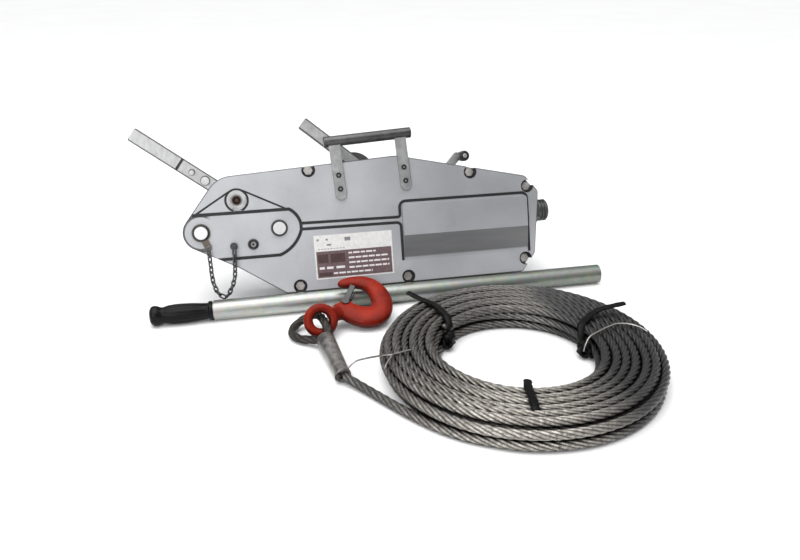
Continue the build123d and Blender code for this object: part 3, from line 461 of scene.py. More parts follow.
def casing_paint():
    """Silver paint on cast aluminium, with painted shade: black in the grooves, dark on the window's slope, along the
    edges and round the pins.
    """
    f = Finish("casing_paint_finish")
    along, high, depth = f.casing_place()
    facing = f.along(f.add("TexCoord").outputs["Normal"], FRONT)
    either_way = f.math("ABSOLUTE", facing)
    cloud, grain = f.noise(14, 4, 0.6), f.noise(900, 3, 0.6)
    colour = f.ramp(cloud, (0.3, PAINT_DULL), (0.7, PAINT_BRIGHT))
    colour = f.mix(f.span(grain, 0.35, 0.7, 0.0, 0.22), colour, PAINT_GRAIN)
    # less light towards the right and the top
    right = f.times(f.mm(along, -30, 150, 0.0, 0.5), f.mm(high, 0, 100, 0.05, 1.0))
    colour = f.mix(right, colour, PAINT_SHADED)
    # painted shade on the window's sloping band, which faces down
    slope = f.times(f.span(facing, 0.999, 0.995), f.span(facing, 0.4, 0.6))
    band = f.times(f.mm(depth, *WINDOW_FROM), slope, f.mm(high, *BAND_UP_TO))
    shade = f.ramp(f.noise(60, 3, 0.5, (0.15, 1, 1)), (0.3, BAND_SHADE_DARK), (0.7, BAND_SHADE_LIGHT))
    colour = f.mix(f.times(band, 0.95), colour, shade)
    # dirt in patches; painted shade on the edges and on the outline's chamfer
    colour = f.mix(f.span(f.noise(35, 6, 0.7), 0.55, 0.75, 0.0, 0.2), colour, PAINT_DIRT)
    colour = f.mix(f.times(f.edges(), 0.55), colour, PAINT_EDGE_SHADE)
    chamfer = f.times(f.span(either_way, 0.9, 0.85), f.span(either_way, 0.5, 0.55),
                      f.mm(depth, *CHAMFER_FROM), f.mm(depth, *CHAMFER_TO))
    colour = f.mix(f.times(chamfer, 0.85), colour, CHAMFER_SHADE)
    # painted shade, black in the grooves and in the recesses round the bolts
    level = f.times(f.span(facing, 0.93, 0.97), f.mm(depth, *GROOVE_FLOOR_TO))
    groove = f.times(f.largest(level, f.span(either_way, 0.12, 0.06)), f.mm(depth, *GROOVE_FROM))
    recess = f.mm(f.distance_to(along, high, BOLTS_AT), SCALLOP_R + 0.6, SCALLOP_R + 0.2, 0.0, 0.9)
    sunk = f.times(f.mm(depth, *SUNK_TO), f.mm(depth, *SUNK_FROM))
    dark = f.times(sunk, f.largest(groove, recess))
    colour = f.mix(f.times(dark, 0.97), colour, GROOVE_SHADE)
    # painted shade round the pins and the screw, and along the nose
    face = f.mm(depth, *FACE_FROM)
    to_anchor_pin = f.distance_to(along, high, [ANCHOR_PIN_AT])
    to_pins = f.distance_to(along, high, [ANCHOR_PIN_AT, FIXED_PIN_AT])
    to_screw = f.distance_to(along, high, [CHEEK_SCREW_AT])
    rims = f.largest(f.ring(to_pins, PIN_HEAD_R - 1, PIN_HEAD_R + 1),
                     f.ring(to_screw, 0, CHEEK_SCREW_R + 0.8))
    colour = f.mix(f.times(rims, face, 0.8), colour, PIN_RIM_SHADE)
    nose = f.times(f.ring(to_anchor_pin, CHEEK_R - 2.8, CHEEK_R + 2), f.mm(along, *NOSE_FROM), face)
    colour = f.mix(f.times(nose, 0.85), colour, grey(0.04))
    f.set(base_color=colour, metallic=f.span(dark, 0, 1, 0.35, 0.0),
          roughness=f.span(cloud, 0.3, 0.7, 0.38, 0.52), coat_weight=0.1, coat_roughness=0.25)
    return f.bump(f.plus(f.times(grain, 0.35), f.noise(160, 2)), 0.14, radius=0.001).material


def spotted(name, spots, rings, rest):
    """Metal seen end on: shades in rings round spots on the casing's face, then another."""
    f = Finish(name)
    along, high, _ = f.casing_place()
    distance = f.distance_to(along, high, spots)
    cloud = f.noise(160, 5, 0.6)
    colour = rest
    for outer, shade in reversed(rings):
        colour = f.mix(f.mm(distance, outer + 0.3, outer - 0.3), colour, shade)
    colour = f.mix(f.span(cloud, 0.5, 0.75, 0.0, 0.25), colour, (0.2, 0.18, 0.16))
    f.set(base_color=colour, metallic=0.8, roughness=f.span(cloud, 0.3, 0.7, 0.28, 0.44))
    return f.bump(cloud, 0.08, 0.0003, 0).material


LEVER_ANGLE, LEVER_STEP, LEVER_END = radians(143), 88.7, 170.5
LEVER_PINS = ((49.0, 5.5), (69.5, 3.2))
REVERSE_TIP, REVERSE_ANGLE = (-56.7, 230.0), radians(139.7)
LEVER_HALF, REVERSE_HALF = 9.5, 8.5
OUTLINE, OUTLINE_BLUR, STEP_HALF = 2.0, 0.6, 1.8


def lever_steel(name, origin, angle, half_width, end, step=None, pins=()):
    """Pale plated bar, with painted shade: dark along its edges, black in the gap at its step, dark rims round its
    pins.
    """
    f = Finish(name)
    along, high, _ = f.casing_place()
    cloud, streak = f.noise(70, 6, 0.65), f.noise(240, 4, 0.6, (1, 1, 0.1))
    colour = f.ramp(f.times(f.plus(cloud, streak), 0.5), (0.36, grey(0.36)), (0.62, grey(0.5)))
    flat = f.add("CombineXYZ", {0: along, 1: high}).outputs[0]
    out = f.add("VectorMath", {0: flat, 1: Vector((*origin, 0)) * MM}, operation="SUBTRACT")
    reach = f.along(out.outputs[0], (cos(angle), sin(angle), 0))
    across = f.math("ABSOLUTE", f.along(out.outputs[0], (-sin(angle), cos(angle), 0)))
    # painted shade along the outline, in the step's gap and round the pins
    side, tip = half_width - OUTLINE, end - OUTLINE
    dark = f.largest(f.mm(across, side, side + OUTLINE_BLUR), f.mm(reach, tip, tip + OUTLINE_BLUR))
    dark = f.times(dark, 0.95)
    if step:
        dark = f.largest(dark, f.ring(reach, step - STEP_HALF, step + STEP_HALF))
    for distance, radius in pins:
        spot = (origin[0] + distance * cos(angle), origin[1] + distance * sin(angle))
        rim = f.ring(f.distance_to(along, high, [spot]), radius - 0.6, radius + 1.1)
        dark = f.largest(dark, f.times(rim, 0.85))
    colour = f.mix(f.times(dark, 0.95), colour, OUTLINE_SHADE)
    f.set(base_color=colour, metallic=f.span(dark, 0, 1, 0.75, 0.0),
          roughness=f.span(cloud, 0.3, 0.7, 0.36, 0.55))
    return f.bump(f.plus(cloud, streak), 0.12).material


def galvanised():
    """Galvanised tube: long streaks, faint spangle, dull patches, and painted shade darker to the right."""
    f = Finish("galvanised_finish")
    streak = f.noise(120, 5, 0.6, (0.04, 1, 1))
    spangle = f.add("TexVoronoi", {"Vector": f.coords, "Scale": 130.0}).outputs["Color"]
    colour = f.ramp(streak, (0.3, (0.3, 0.315, 0.29)), (0.68, (0.5, 0.51, 0.485)))
    # painted shade, darker towards the right
    right = f.span(f.add("SeparateXYZ", {0: f.coords}).outputs["X"], -0.12, 0.12, 0, 0.8)
    colour = f.mix(right, colour, (0.17, 0.185, 0.16))
    colour = f.mix(0.12, colour, spangle, "SOFT_LIGHT")
    colour = f.mix(f.span(f.noise(22, 5, 0.7), 0.56, 0.72, 0, 0.35), colour, (0.2, 0.2, 0.19))
    colour = f.mix(f.times(f.edges(), 0.5), colour, (0.74, 0.75, 0.74))
    f.set(base_color=colour, metallic=0.82, roughness=f.span(streak, 0.3, 0.7, 0.3, 0.46))
    return f.bump(f.plus(streak, f.noise(700, 2)), 0.1).material


def rubber(name, dark, light, rough, gloss=0.5):
    """Slightly dusty black rubber or plastic."""
    f = Finish(name)
    dust = f.noise(70, 5, 0.65)
    f.set(base_color=f.ramp(dust, (0.35, grey(dark)), (0.75, grey(light))),
          roughness=f.span(dust, 0.3, 0.7, *rough), specular_ior_level=gloss)
    return f.bump(f.noise(1300, 3), 0.22, 0.0003).material


def hook_paint():
    """Thick red enamel: chipped, with painted shade underneath and in hollows."""
    f = Finish("hook_paint_finish")
    cloud, lumps = f.noise(38, 5, 0.6), f.noise(150, 3, 0.5)
    colour = f.ramp(cloud, (0.3, (0.135, 0.008, 0.003)), (0.7, (0.32, 0.018, 0.005)))
    chips = f.times(f.span(f.noise(260, 6, 0.7), 0.63, 0.68), f.span(cloud, 0.5, 0.62))
    colour = f.mix(f.times(chips, 0.7), colour, (0.13, 0.035, 0.02))
    # painted shade: darker in hollows and on faces that turn down
    lit = f.times(f.shelter(0.012, 0.25, 0.8), f.span(f.upward(), -0.5, 0.95, 0.12, 1.0))
    colour = f.mix(lit, (0.035, 0.004, 0.003), colour)
    f.set(base_color=colour, roughness=f.span(lumps, 0.3, 0.7, 0.24, 0.4), specular_ior_level=0.12)
    return f.bump(f.plus(lumps, f.times(cloud, 1.5)), 0.22, 0.0012, 0).material


ROPE_D, ROPE_LAY = 0.011, 0.072
STRANDS, WIRES_ROUND = 6, 42
# where the coil's painted shade begins and ends, in metres, and from and to how much
SHADE_LEFT, SHADE_RIGHT = (0.035, -0.06, 0.0, 0.8), (0.12, 0.2, 0.0, 0.92)
SHADE_BACK = (-0.3, -0.2, 0.0, 0.62)


def rope_steel(name, light, dark, side_shade):
    """Bright wires that run along the rope, with painted shade between the strands and the wires, in gaps and on the
    coil's sides and back.
    """
    f = Finish(name)
    lay = f.add("SeparateXYZ", {0: f.add("UVMap", uv_map="lay").outputs[0]}).outputs
    strand = f.math("FRACT", f.times(lay[1], float(STRANDS)))
    valley = f.span(f.math("ABSOLUTE", f.math("SUBTRACT", strand, 0.5)), 0.28, 0.5)
    wires = f.math("SINE", f.times(f.plus(lay[0], lay[1]), 2 * pi * WIRES_ROUND))
    soil = f.noise(26, 6, 0.7)
    colour = f.mix(f.span(f.noise(240, 4, 0.7), 0.35, 0.65), dark, light)
    # dark lines of painted shade between the wires
    colour = f.mix(f.span(wires, -0.2, -1.0, 0.0, 0.55), colour, (0.1, 0.09, 0.08))
    colour = f.mix(f.span(soil, 0.5, 0.72, 0, 0.45), colour, (0.17, 0.135, 0.1))
    # painted shade on the coil's left, right and back sides
    place = f.add("SeparateXYZ", {0: f.coords}).outputs
    patches = f.largest(f.span(place["X"], *SHADE_LEFT), f.span(place["X"], *SHADE_RIGHT),
                        f.span(place["Y"], *SHADE_BACK))
    colour = f.mix(patches, colour, side_shade)
    # painted shade, nearly black, in the valleys between the strands
    colour = f.mix(f.times(valley, 0.95), colour, (0.022, 0.014, 0.009))
    # painted shade in the gaps between the turns
    colour = f.mix(f.shelter(0.012, 0.3, 0.75), (0.01, 0.008, 0.007), colour)
    f.set(base_color=colour, metallic=f.span(valley, 0, 1, 0.78, 0.1),
          roughness=f.span(soil, 0.3, 0.7, 0.22, 0.46))
    return f.bump(f.plus(wires, f.noise(600, 2)), 0.35, 0.0003, 0).material


def label_print(name, first, second):
    """Printed foil: slightly uneven ink on a satin base."""
    f = Finish(name)
    ink = f.noise(220, 5, 0.6)
    f.set(base_color=f.ramp(ink, (0.3, first), (0.7, second)),
          roughness=f.span(ink, 0.3, 0.7, 0.34, 0.5), coat_weight=0.2)
    return f.bump(f.noise(900, 2), 0.08, 0.0002, 0).material


# -------- mesh building
def add_mesh(name, vertices, faces, material, body, uvs=None, smooth=True):
    """A mesh piece that rides on a body, from vertices in metres."""
    mesh = bpy.data.meshes.new(name)
    mesh.from_pydata([tuple(v) for v in vertices], [], faces)
    mesh.polygons.foreach_set("use_smooth", [smooth] * len(mesh.polygons))
    if uvs:
        layer = mesh.uv_layers.new(name="lay")
        layer.data.foreach_set("uv", [value for pair in uvs for value in pair])
    mesh.materials.append(material)
    piece = link(bpy.data.objects.new(name, mesh))
    if body:
        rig.ride(piece, body)
    return piece


def smooth_rows(rows, steps):
    """A Catmull-Rom curve through rows of numbers, in steps between the rows."""
    rows = [tuple(row) for row in rows]
    padded = [rows[0], *rows, rows[-1]]
    out = []
    for a, b, c, d in zip(padded, padded[1:], padded[2:], padded[3:]):
        for step in range(steps):
            t = step / steps
            out.append([0.5 * (2 * q + (r - p) * t + (2 * p - 5 * q + 4 * r - s) * t * t
                               + (3 * q - p - 3 * r + s) * t ** 3)
                        for p, q, r, s in zip(a, b, c, d)])
    return out + [list(rows[-1])]


def spline_points(name, route):
    """Points along the smooth NURBS line whose control points are the route."""
    curve = bpy.data.curves.new(name, "CURVE")
    curve.dimensions = "3D"
    spline = curve.splines.new("NURBS")
    spline.points.add(len(route) - 1)
    for point, place in zip(spline.points, route):
        point.co = (*place, 1)
    spline.order_u = 3
    spline.use_endpoint_u = True
    spline.resolution_u = 6
    holder = bpy.data.objects.new(name, curve)
    mesh = bpy.data.meshes.new_from_object(holder)
    points = [vertex.co.copy() for vertex in mesh.vertices]
    bpy.data.objects.remove(holder)
    bpy.data.curves.remove(curve)
    bpy.data.meshes.remove(mesh)
    return points


def even_points(points, step):
    """The line with its points about one step apart, and its length."""
    lengths = [0.0]
    for a, b in zip(points, points[1:]):
        lengths.append(lengths[-1] + (b - a).length)
    count = max(2, round(lengths[-1] / step))
    out, index = [], 0
    for k in range(count + 1):
        want = lengths[-1] * k / count
        while index < len(points) - 2 and lengths[index + 1] < want:
            index += 1
        part = (want - lengths[index]) / max(1e-9, lengths[index + 1] - lengths[index])
        out.append(points[index].lerp(points[index + 1], min(1, part)))
    return out, lengths[-1]


def carried_frames(points):
    """Each point, its tangent, a side direction carried along untwisted, and the other."""
    frames = []
    side = None
    for index, point in enumerate(points):
        ahead = points[min(index + 1, len(points) - 1)]
        behind = points[max(index - 1, 0)]
        tangent = (ahead - behind).normalized()
        if side is None:
            side = tangent.orthogonal().normalized()
        side = (side - tangent * side.dot(tangent)).normalized()
        frames.append((point, tangent, side, tangent.cross(side)))
    return frames


def circle(centre, side, other, radius, sides):
    """Points round a centre, from one direction towards another."""
    turns = [2 * pi * j / sides for j in range(sides)]
    return [centre + (side * cos(turn) + other * sin(turn)) * radius for turn in turns]


def skin(rings, closed=False):
    """Vertices and faces of a tube through rings of points, capped unless it is closed."""
    round_count = len(rings[0])
    vertices = [point for ring in rings for point in ring]
    faces = []
    spans = len(rings) if closed else len(rings) - 1
    for k in range(spans):
        a, b = k * round_count, (k + 1) % len(rings) * round_count
        for j in range(round_count):
            n = (j + 1) % round_count
            faces.append((a + j, a + n, b + n, b + j))
    if not closed:
        faces.append(tuple(reversed(range(round_count))))
        faces.append(tuple(range(len(vertices) - round_count, len(vertices))))
    return vertices, faces


def joined(parts):
    """The vertices and faces of several parts as those of one."""
    vertices, faces = [], []
    for part_vertices, part_faces in parts:
        base = len(vertices)
        vertices += part_vertices
        faces += [tuple(base + i for i in face) for face in part_faces]
    return vertices, faces


POINTS_ON_STRAND, VALLEY_SHARE = 4, 0.335


def strand_rope(name, points, diameter, lay, step, material, size_along=lambda share: 1.0):
    """A wire rope: each strand is a ridge that turns once in each lay."""
    sides = STRANDS * POINTS_ON_STRAND
    core, wire = diameter / 3, diameter / 6
    profile = []
    for j in range(sides):
        turn = (j % POINTS_ON_STRAND) * (pi / 3) / POINTS_ON_STRAND - pi / 6
        ridge = core * cos(turn) + sqrt(max(0, wire ** 2 - (core * sin(turn)) ** 2))
        profile.append(max(ridge, diameter * VALLEY_SHARE))
    points, length = even_points(points, step)
    last = len(points) - 1
    rings, uvs = [], []
    for k, (centre, _, side, other) in enumerate(carried_frames(points)):
        twist = 2 * pi * k * length / last / lay
        rings.append([centre + (side * cos(2 * pi * j / sides + twist)
                                + other * sin(2 * pi * j / sides + twist))
                      * profile[j] * size_along(k / last) for j in range(sides)])
    per_ring = length / last / lay
    for k in range(last):
        near, far = k * per_ring, (k + 1) * per_ring
        for j in range(sides):
            low, high = j / sides, (j + 1) / sides
            uvs += [(near, low), (near, high), (far, high), (far, low)]
    uvs += [(0, 0)] * (2 * sides)
    return add_mesh(name, *skin(rings), material, "rope", uvs), length


# -------- rope
LEAD_ROUTE = [
    (-0.088, -0.1665, 0.0098), (-0.0795, -0.1775, 0.008), (-0.0665, -0.195, 0.0064),
    (-0.051, -0.2195, 0.006), (-0.0355, -0.2445, 0.006), (-0.0145, -0.2735, 0.006),
    (0.008, -0.2975, 0.006), (0.033, -0.315, 0.006),
]
ROPE_EYE_ROUTE = [
    (-0.1027, -0.0828, 0.012), (-0.11, -0.075, 0.01), (-0.125, -0.067, 0.007),
    (-0.136, -0.052, 0.006), (-0.134, -0.034, 0.007), (-0.12, -0.022, 0.012),
    (-0.105, -0.025, 0.0195), (-0.098, -0.039, 0.0245), (-0.0945, -0.056, 0.0238),
    (-0.0915, -0.071, 0.0176), (-0.0913, -0.0828, 0.012),
]
COIL_CENTRE = Vector((0.124, -0.1765, 0))
TURN_RADII = (0.168, 0.091)
LAYER_HEIGHTS = (0.0059, 0.0169, 0.0279)
TURNS_IN_LAYER, POINTS_IN_TURN, LAST_POINTS_LEFT_OUT = 7, 16, 4
FIRST_POINT_AHEAD = 0.75
# on one side the inner turns are pushed outwards and cross in a low hump
SNUG_AT, SNUG_OUT, SNUG_UP = radians(160), 0.0085, 0.0032
# between the ties the turns wander a little
TIE_ANGLES = (radians(128), radians(18), radians(253))
TIE_HOLD, WAVE, DRIFT, LIFT = 0.75, 0.0011, 0.0008, 0.0006
ROPE_STEP, PATH_STEP = 0.0049, 0.006
END_FROM, END_SHRINK = 0.999, 0.35


def coil_route():
    """Counter-clockwise turns: inwards, outwards on the next layer, inwards on top."""
    first = LEAD_ROUTE[-1]
    start = atan2(first[1] - COIL_CENTRE.y, first[0] - COIL_CENTRE.x)
    outer, inner = TURN_RADII
    climb = POINTS_IN_TURN // 2
    route = []
    for layer, height in enumerate(LAYER_HEIGHTS):
        for k in range(TURNS_IN_LAYER * POINTS_IN_TURN):
            part = k / (TURNS_IN_LAYER * POINTS_IN_TURN - 1)
            turn = layer * TURNS_IN_LAYER + k / POINTS_IN_TURN
            angle = start + 2 * pi * (turn + FIRST_POINT_AHEAD / POINTS_IN_TURN)
            inwards = part if layer % 2 == 0 else 1 - part
            snug = 0.5 + 0.5 * cos(angle - SNUG_AT)
            weave = 0.5 - 0.5 * cos((angle - SNUG_AT) / 2)
            loose = 1 - TIE_HOLD * max(0, *(cos(angle - tie) for tie in TIE_ANGLES)) ** 6
            radius = outer + (inner + SNUG_OUT * snug - outer) * inwards
            radius += loose * (WAVE * sin(angle * 3 + layer * 2.1)
                               + DRIFT * sin(turn * 2.3 + layer))
            rise = height + SNUG_UP * snug * weave
            if layer:
                rise += LIFT * loose * sin(angle * 2 + turn)
            if layer and k < climb:
                rise -= (height - LAYER_HEIGHTS[layer - 1]) * (1 - (k + 1) / climb)
            place = COIL_CENTRE + Vector((cos(angle), sin(angle), 0)) * radius
            route.append((place.x, place.y, rise))
    return route[:-LAST_POINTS_LEFT_OUT]


def rope_size(share):
    """The rope's relative size at a share of its length: smaller at the cut end."""
    return 1.0 - END_SHRINK * max(0.0, share - END_FROM) / (1 - END_FROM)


def add_rope(material):
    """The rope: from the ferrule, through its lead and all the coil's turns."""
    points = spline_points("rope_line", LEAD_ROUTE + coil_route())
    rope, length = strand_rope("wire_rope", points, ROPE_D, ROPE_LAY, ROPE_STEP, material,
                               rope_size)
    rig.replaces(rope, "rope_lead", "rope_coil")
    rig.slot(rope, "rope")
    path, _ = even_points(points, PATH_STEP)
    return rope, path, length


# -------- ties and wires on the coil
TIE_PATHS = {
    "rope_tie_left": [
        (41, -123, 4.2), (46, -118, 9), (51.6, -115, 18), (53.4, -112, 30), (53.4, -103, 36.8),
        (52, -93.5, 38.2), (49.4, -79, 38.2), (46, -64.7, 37.6), (38.5, -54, 37.4),
        (31.8, -46.5, 38.4), (24.5, -39, 40.5), (18.1, -32.4, 42.5),
    ],
    "rope_tie_right": [
        (216, -184, 4.2), (211, -178, 8), (207.6, -170, 16), (206.5, -162, 26), (210, -153, 33),
        (217, -146, 35.6), (227, -138, 36.8), (236, -133.5, 38.8), (246, -131, 41.2),
        (263, -130.6, 43.6), (280, -130.4, 45.4),
    ],
    "rope_tie_front": [
        (101, -255.5, 4.2), (100.6, -257.5, 10), (100, -258.5, 22), (99.2, -259.5, 32),
        (97.5, -262, 35.4), (94, -272, 36.2), (91.5, -286, 36.2), (89.3, -299, 36),
        (87.6, -309, 34.8), (86.8, -314.5, 32.5),
    ],
}
TIE_HALF_WIDTH, TIE_HALF_THICK = 4.6, 2.1
KNOT_HALF_WIDTH, KNOT_HALF_THICK = 5.0, 2.9
KNOT_TURNS, KNOT_POINTS = 3.2, 40
STRAP_SIDES, STRAP_STEP, ROUND_END, STEEP = 14, 0.0012, 0.0022, 0.35
WIRE_PATHS = {
    "tie_wire_lead": [
        (-84, -160, 11), (-78, -155.5, 14.5), (-70, -153.5, 19), (-60, -158.5, 24),
        (-50, -166, 29.5), (-41, -173, 34.2), (-33, -177.5, 36.2), (-22, -174.5, 36.4),
        (-8.7, -169.6, 35.6),
    ],
    "tie_wire_branch": [
        (-24, -174, 36.8), (-31, -177.8, 37.6), (-36, -184.5, 36.8), (-42, -193, 35.4),
        (-46, -200, 33),
    ],
    "tie_wire_right": [
        (196.5, -192.5, 20), (200, -189, 28), (208, -183, 34.4), (225, -175, 36.2),
        (240, -168, 36.4), (252.6, -164, 36.2), (266, -167.5, 36), (275, -175.5, 35.4),
        (281, -186, 33.5),
    ],
}
WIRE_R = 0.0011


def strap(name, rows, half_width, half_thick, material):
    """A soft flat tie along a path in millimetres: oval, crinkled and rounded at both ends."""
    points, length = even_points([Vector(row) * MM for row in smooth_rows(rows, 8)], STRAP_STEP)
    rings = []
    last = len(points) - 1
    for index, (centre, tangent, _, _) in enumerate(carried_frames(points)):
        lift = Vector((0, 0, 1)) - tangent * tangent.z
        if lift.length < STEEP:
            lift = lift + (centre - COIL_CENTRE).normalized() * -0.6
        normal = (lift - tangent * lift.dot(tangent)).normalized()
        end = min(index, last - index) * length / last
        close = sqrt(end / ROUND_END + 0.02) if end < ROUND_END else 1.0
        crinkle = 1 + 0.07 * sin(index * 0.55) + 0.05 * sin(index * 1.37)
        wide = tangent.cross(normal) * (half_width * MM * close * crinkle)
        rings.append(circle(centre, wide, normal * (half_thick * MM * close), 1, STRAP_SIDES))
    return add_mesh(name, *skin(rings), material, "rope")


def tie_knot(name, rows, material):
    """The tie's thick knot on the coil's inner side: turns that lie over each other."""
    base = [Vector(row) for row in rows[:4]]
    middle = sum(base, Vector()) / len(base)
    inwards = (COIL_CENTRE / MM - Vector((middle.x, middle.y, 0))).normalized()
    around = Vector((-inwards.y, inwards.x, 0))
    path = []
    for k in range(KNOT_POINTS):
        angle = 2 * pi * KNOT_TURNS * k / (KNOT_POINTS - 1)
        high = (7.4 + 0.6 * sin(angle * 0.7)) * sin(angle) - 1.5
        path.append(middle + inwards * (3.8 + 4.2 * cos(angle))
                    + around * (4.6 * sin(angle * 0.5)) + Vector((0, 0, high)))
    return strap(name, path, KNOT_HALF_WIDTH, KNOT_HALF_THICK, material)


def add_ties(tie_finish, wire_finish):
    """The three ties, two knots and the thin wires."""
    pieces = []
    for name, rows in TIE_PATHS.items():
        tie = strap(name.replace("rope_tie", "tie_strap"), rows, TIE_HALF_WIDTH, TIE_HALF_THICK,
                    tie_finish)
        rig.replaces(tie, name)
        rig.slot(tie, "tie")
        pieces.append(tie)
        if name != "rope_tie_front":
            knot = tie_knot(name.replace("rope_tie", "tie_knot"), rows, tie_finish)
            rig.slot(knot, "tie")
            pieces.append(knot)
    for name, rows in WIRE_PATHS.items():
        frames = carried_frames([Vector(row) * MM for row in smooth_rows(rows, 8)])
        rings = [circle(centre, side, other, WIRE_R, 8) for centre, _, side, other in frames]
        wire = add_mesh(name, *skin(rings), wire_finish, "rope")
        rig.slot(wire, "tie_wire")
        if name == "tie_wire_lead":
            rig.replaces(wire, "tie_wire")
        pieces.append(wire)
    return pieces


# -------- hook
HOOK_PLACE = tilted((-35.0, -52.0, 9.6), radians(25))
EYE_PLACE = tilted((-98.5, -50.0, 22.5), radians(60))
EYE_R, EYE_WIRE_R = 16, 6.2
NECK_START, NECK_END = (-37, 25, 0), (EYE_R - 3, 6, 0)
NECK_SIZES = ((12, 7.8), (8, 6.6))
# across and up the hook's plane, width and thickness, from the shank to the tip
HOOK_ROWS = [
    (-47, 23.5, 19, 15), (-41, 25, 22, 15.5), (-34, 27.5, 25.5, 16),
    (-26, 26, 28.5, 16.6), (-17, 19.5, 29.5, 17.4), (-6, 14, 31, 18),
    (6, 13.5, 31.5, 18.2), (16, 19, 30.5, 18.2), (21.3, 30, 28.5, 18),
    (21.5, 43, 27.5, 17.6), (18, 56, 25, 16.8), (10, 67, 22, 15.8),
    (-1, 73, 19, 14.6), (-13, 74.3, 16.2, 13.4), (-22, 73.6, 14, 12.4),
    (-28.5, 73.8, 9.6, 9.6), (-31.8, 74.4, 4, 4.4),
]
LATCH_BOSS = ((-27, 35.5), 8.4, 15)
HOOK_VOXEL, OVAL_SIDES = 0.00085, 28
EYE_STEPS, NECK_STEPS, BOSS_STEPS = 60, 12, 8


def oval_ring(centre, wide, thick, half_width, half_thick, square=2.5):
    """Points of an oval: square 2 is an ellipse and larger values are boxier."""
    ring = []
    for j in range(OVAL_SIDES):
        turn = 2 * pi * j / OVAL_SIDES
        c, s = cos(turn), sin(turn)
        ring.append(centre + wide * copysign(half_width * abs(c) ** (2 / square), c)
                    + thick * copysign(half_thick * abs(s) ** (2 / square), s))
    return ring


def hook_parts():
    """The forging's closed parts: bowl, neck, eye and latch boss."""
    right, up, across = HOOK_PLACE.to_3x3().transposed()
    eye_right, eye_up, eye_axis = EYE_PLACE.to_3x3().transposed()
    rows = smooth_rows(HOOK_ROWS, 8)
    bowl = []
    for index, (u, v, wide, thick) in enumerate(rows):
        a, b = rows[max(index - 1, 0)], rows[min(index + 1, len(rows) - 1)]
        tangent = (right * (b[0] - a[0]) + up * (b[1] - a[1])).normalized()
        bowl.append(oval_ring(HOOK_PLACE @ Vector((u, v, 0)), across.cross(tangent), across,
                              wide / 2, thick / 2))
    yield skin(bowl)
    start, end = HOOK_PLACE @ Vector(NECK_START), EYE_PLACE @ Vector(NECK_END)
    along = (end - start).normalized()
    neck = []
    for k in range(NECK_STEPS + 1):
        t = k / NECK_STEPS
        wide = across.lerp(eye_axis, t).normalized()
        wide = (wide - along * wide.dot(along)).normalized()
        sizes = [a + (b - a) * t for a, b in zip(*NECK_SIZES)]
        neck.append(oval_ring(start.lerp(end, t), along.cross(wide), wide, *sizes, square=2.2))
    yield skin(neck)
    eye = []
    for radial in circle(Vector(), eye_right, eye_up, 1, EYE_STEPS):
        eye.append(circle(EYE_PLACE.translation + radial * EYE_R, radial, eye_axis, EYE_WIRE_R, 20))
    yield skin(eye, closed=True)
    (u, v), radius, thick = LATCH_BOSS
    boss = []
    for k in range(BOSS_STEPS + 1):
        t = k / BOSS_STEPS
        size = radius * sqrt(max(0.05, 1 - (2 * t - 1) ** 6))
        centre = HOOK_PLACE @ Vector((u, v, (t - 0.5) * thick))
        boss.append(circle(centre, right, up, size, OVAL_SIDES))
    yield skin(boss)


def modify(piece, kind, **settings):
    """Adds one modifier to a piece."""
    modifier = piece.modifiers.new(kind.lower(), kind)
    for key, value in settings.items():
        setattr(modifier, key, value)


def add_hook(material):
    """The forged hook: its parts melted together as one rounded surface."""
    vertices, faces = joined(hook_parts())
    hook = add_mesh("forged_hook", [v * MM for v in vertices], faces, material, None)
    modify(hook, "REMESH", mode="VOXEL", voxel_size=HOOK_VOXEL, use_smooth_shade=True)
    modify(hook, "SMOOTH", factor=0.6, iterations=7)
    graph = bpy.context.evaluated_depsgraph_get()
    mesh = bpy.data.meshes.new_from_object(hook.evaluated_get(graph))
    hook.modifiers.clear()
    hook.data = mesh
    mesh.polygons.foreach_set("use_smooth", [True] * len(mesh.polygons))
    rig.ride(hook, "hook")
    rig.replaces(hook, "hook")
    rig.slot(hook, "hook_paint")


# -------- rope eye and ferrule end
ROPE_STUB_ROUTE = [(-93.5, -156, 11.4), (-93.4, -165, 10.4), (-94, -171, 9)]
STUB_D, STUB_LAY, STUB_STEP, EYE_STEP = 0.0088, 0.06, 0.0012, 0.0018
FERRULE_START = Vector((-97, -83, 12))
# the rolled lip: places past the ferrule's end and radii, in millimetres
LIP = [(-4.2, 8.8), (-3.6, 9.4), (-2.2, 9.7), (-0.8, 9.6), (0.2, 8.9), (0.6, 8), (0.2, 7.4),
       (-1.2, 7.2)]
LIP_SIDES = 40


def add_rope_eye(rope_finish, ferrule_finish):
    """The loop through the hook's eye, the rope's cut end, and the ferrule's lip."""
    points = spline_points("eye_line", ROPE_EYE_ROUTE)
    eye, _ = strand_rope("rope_eye_strands", points, ROPE_D, ROPE_LAY, EYE_STEP, rope_finish)
    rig.replaces(eye, "rope_eye")
    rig.slot(eye, "rope")
    stub = [Vector(place) * MM for place in ROPE_STUB_ROUTE]
    tail, _ = strand_rope("rope_tail_stub", stub, STUB_D, STUB_LAY, STUB_STEP, rope_finish)
    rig.slot(tail, "rope")
    end = Vector(LEAD_ROUTE[0])
    along = (end / MM - FERRULE_START).normalized()
    side = along.orthogonal().normalized()
    rings = [circle(end + along * (ahead * MM), side, along.cross(side), radius * MM, LIP_SIDES)
             for ahead, radius in smooth_rows(LIP, 3)]
    lip = add_mesh("ferrule_lip", *skin(rings, closed=True), ferrule_finish, "rope")
    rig.slot(lip, "ferrule")


# -------- small fittings
CHAIN_LINKS, LINK_WIRE_R, LINK_HALF_WIDE, LINK_STEPS = 20, 0.0011, 0.0025, 20
CHAIN_LOW, CHAIN_STEP = 0.023, 0.0005


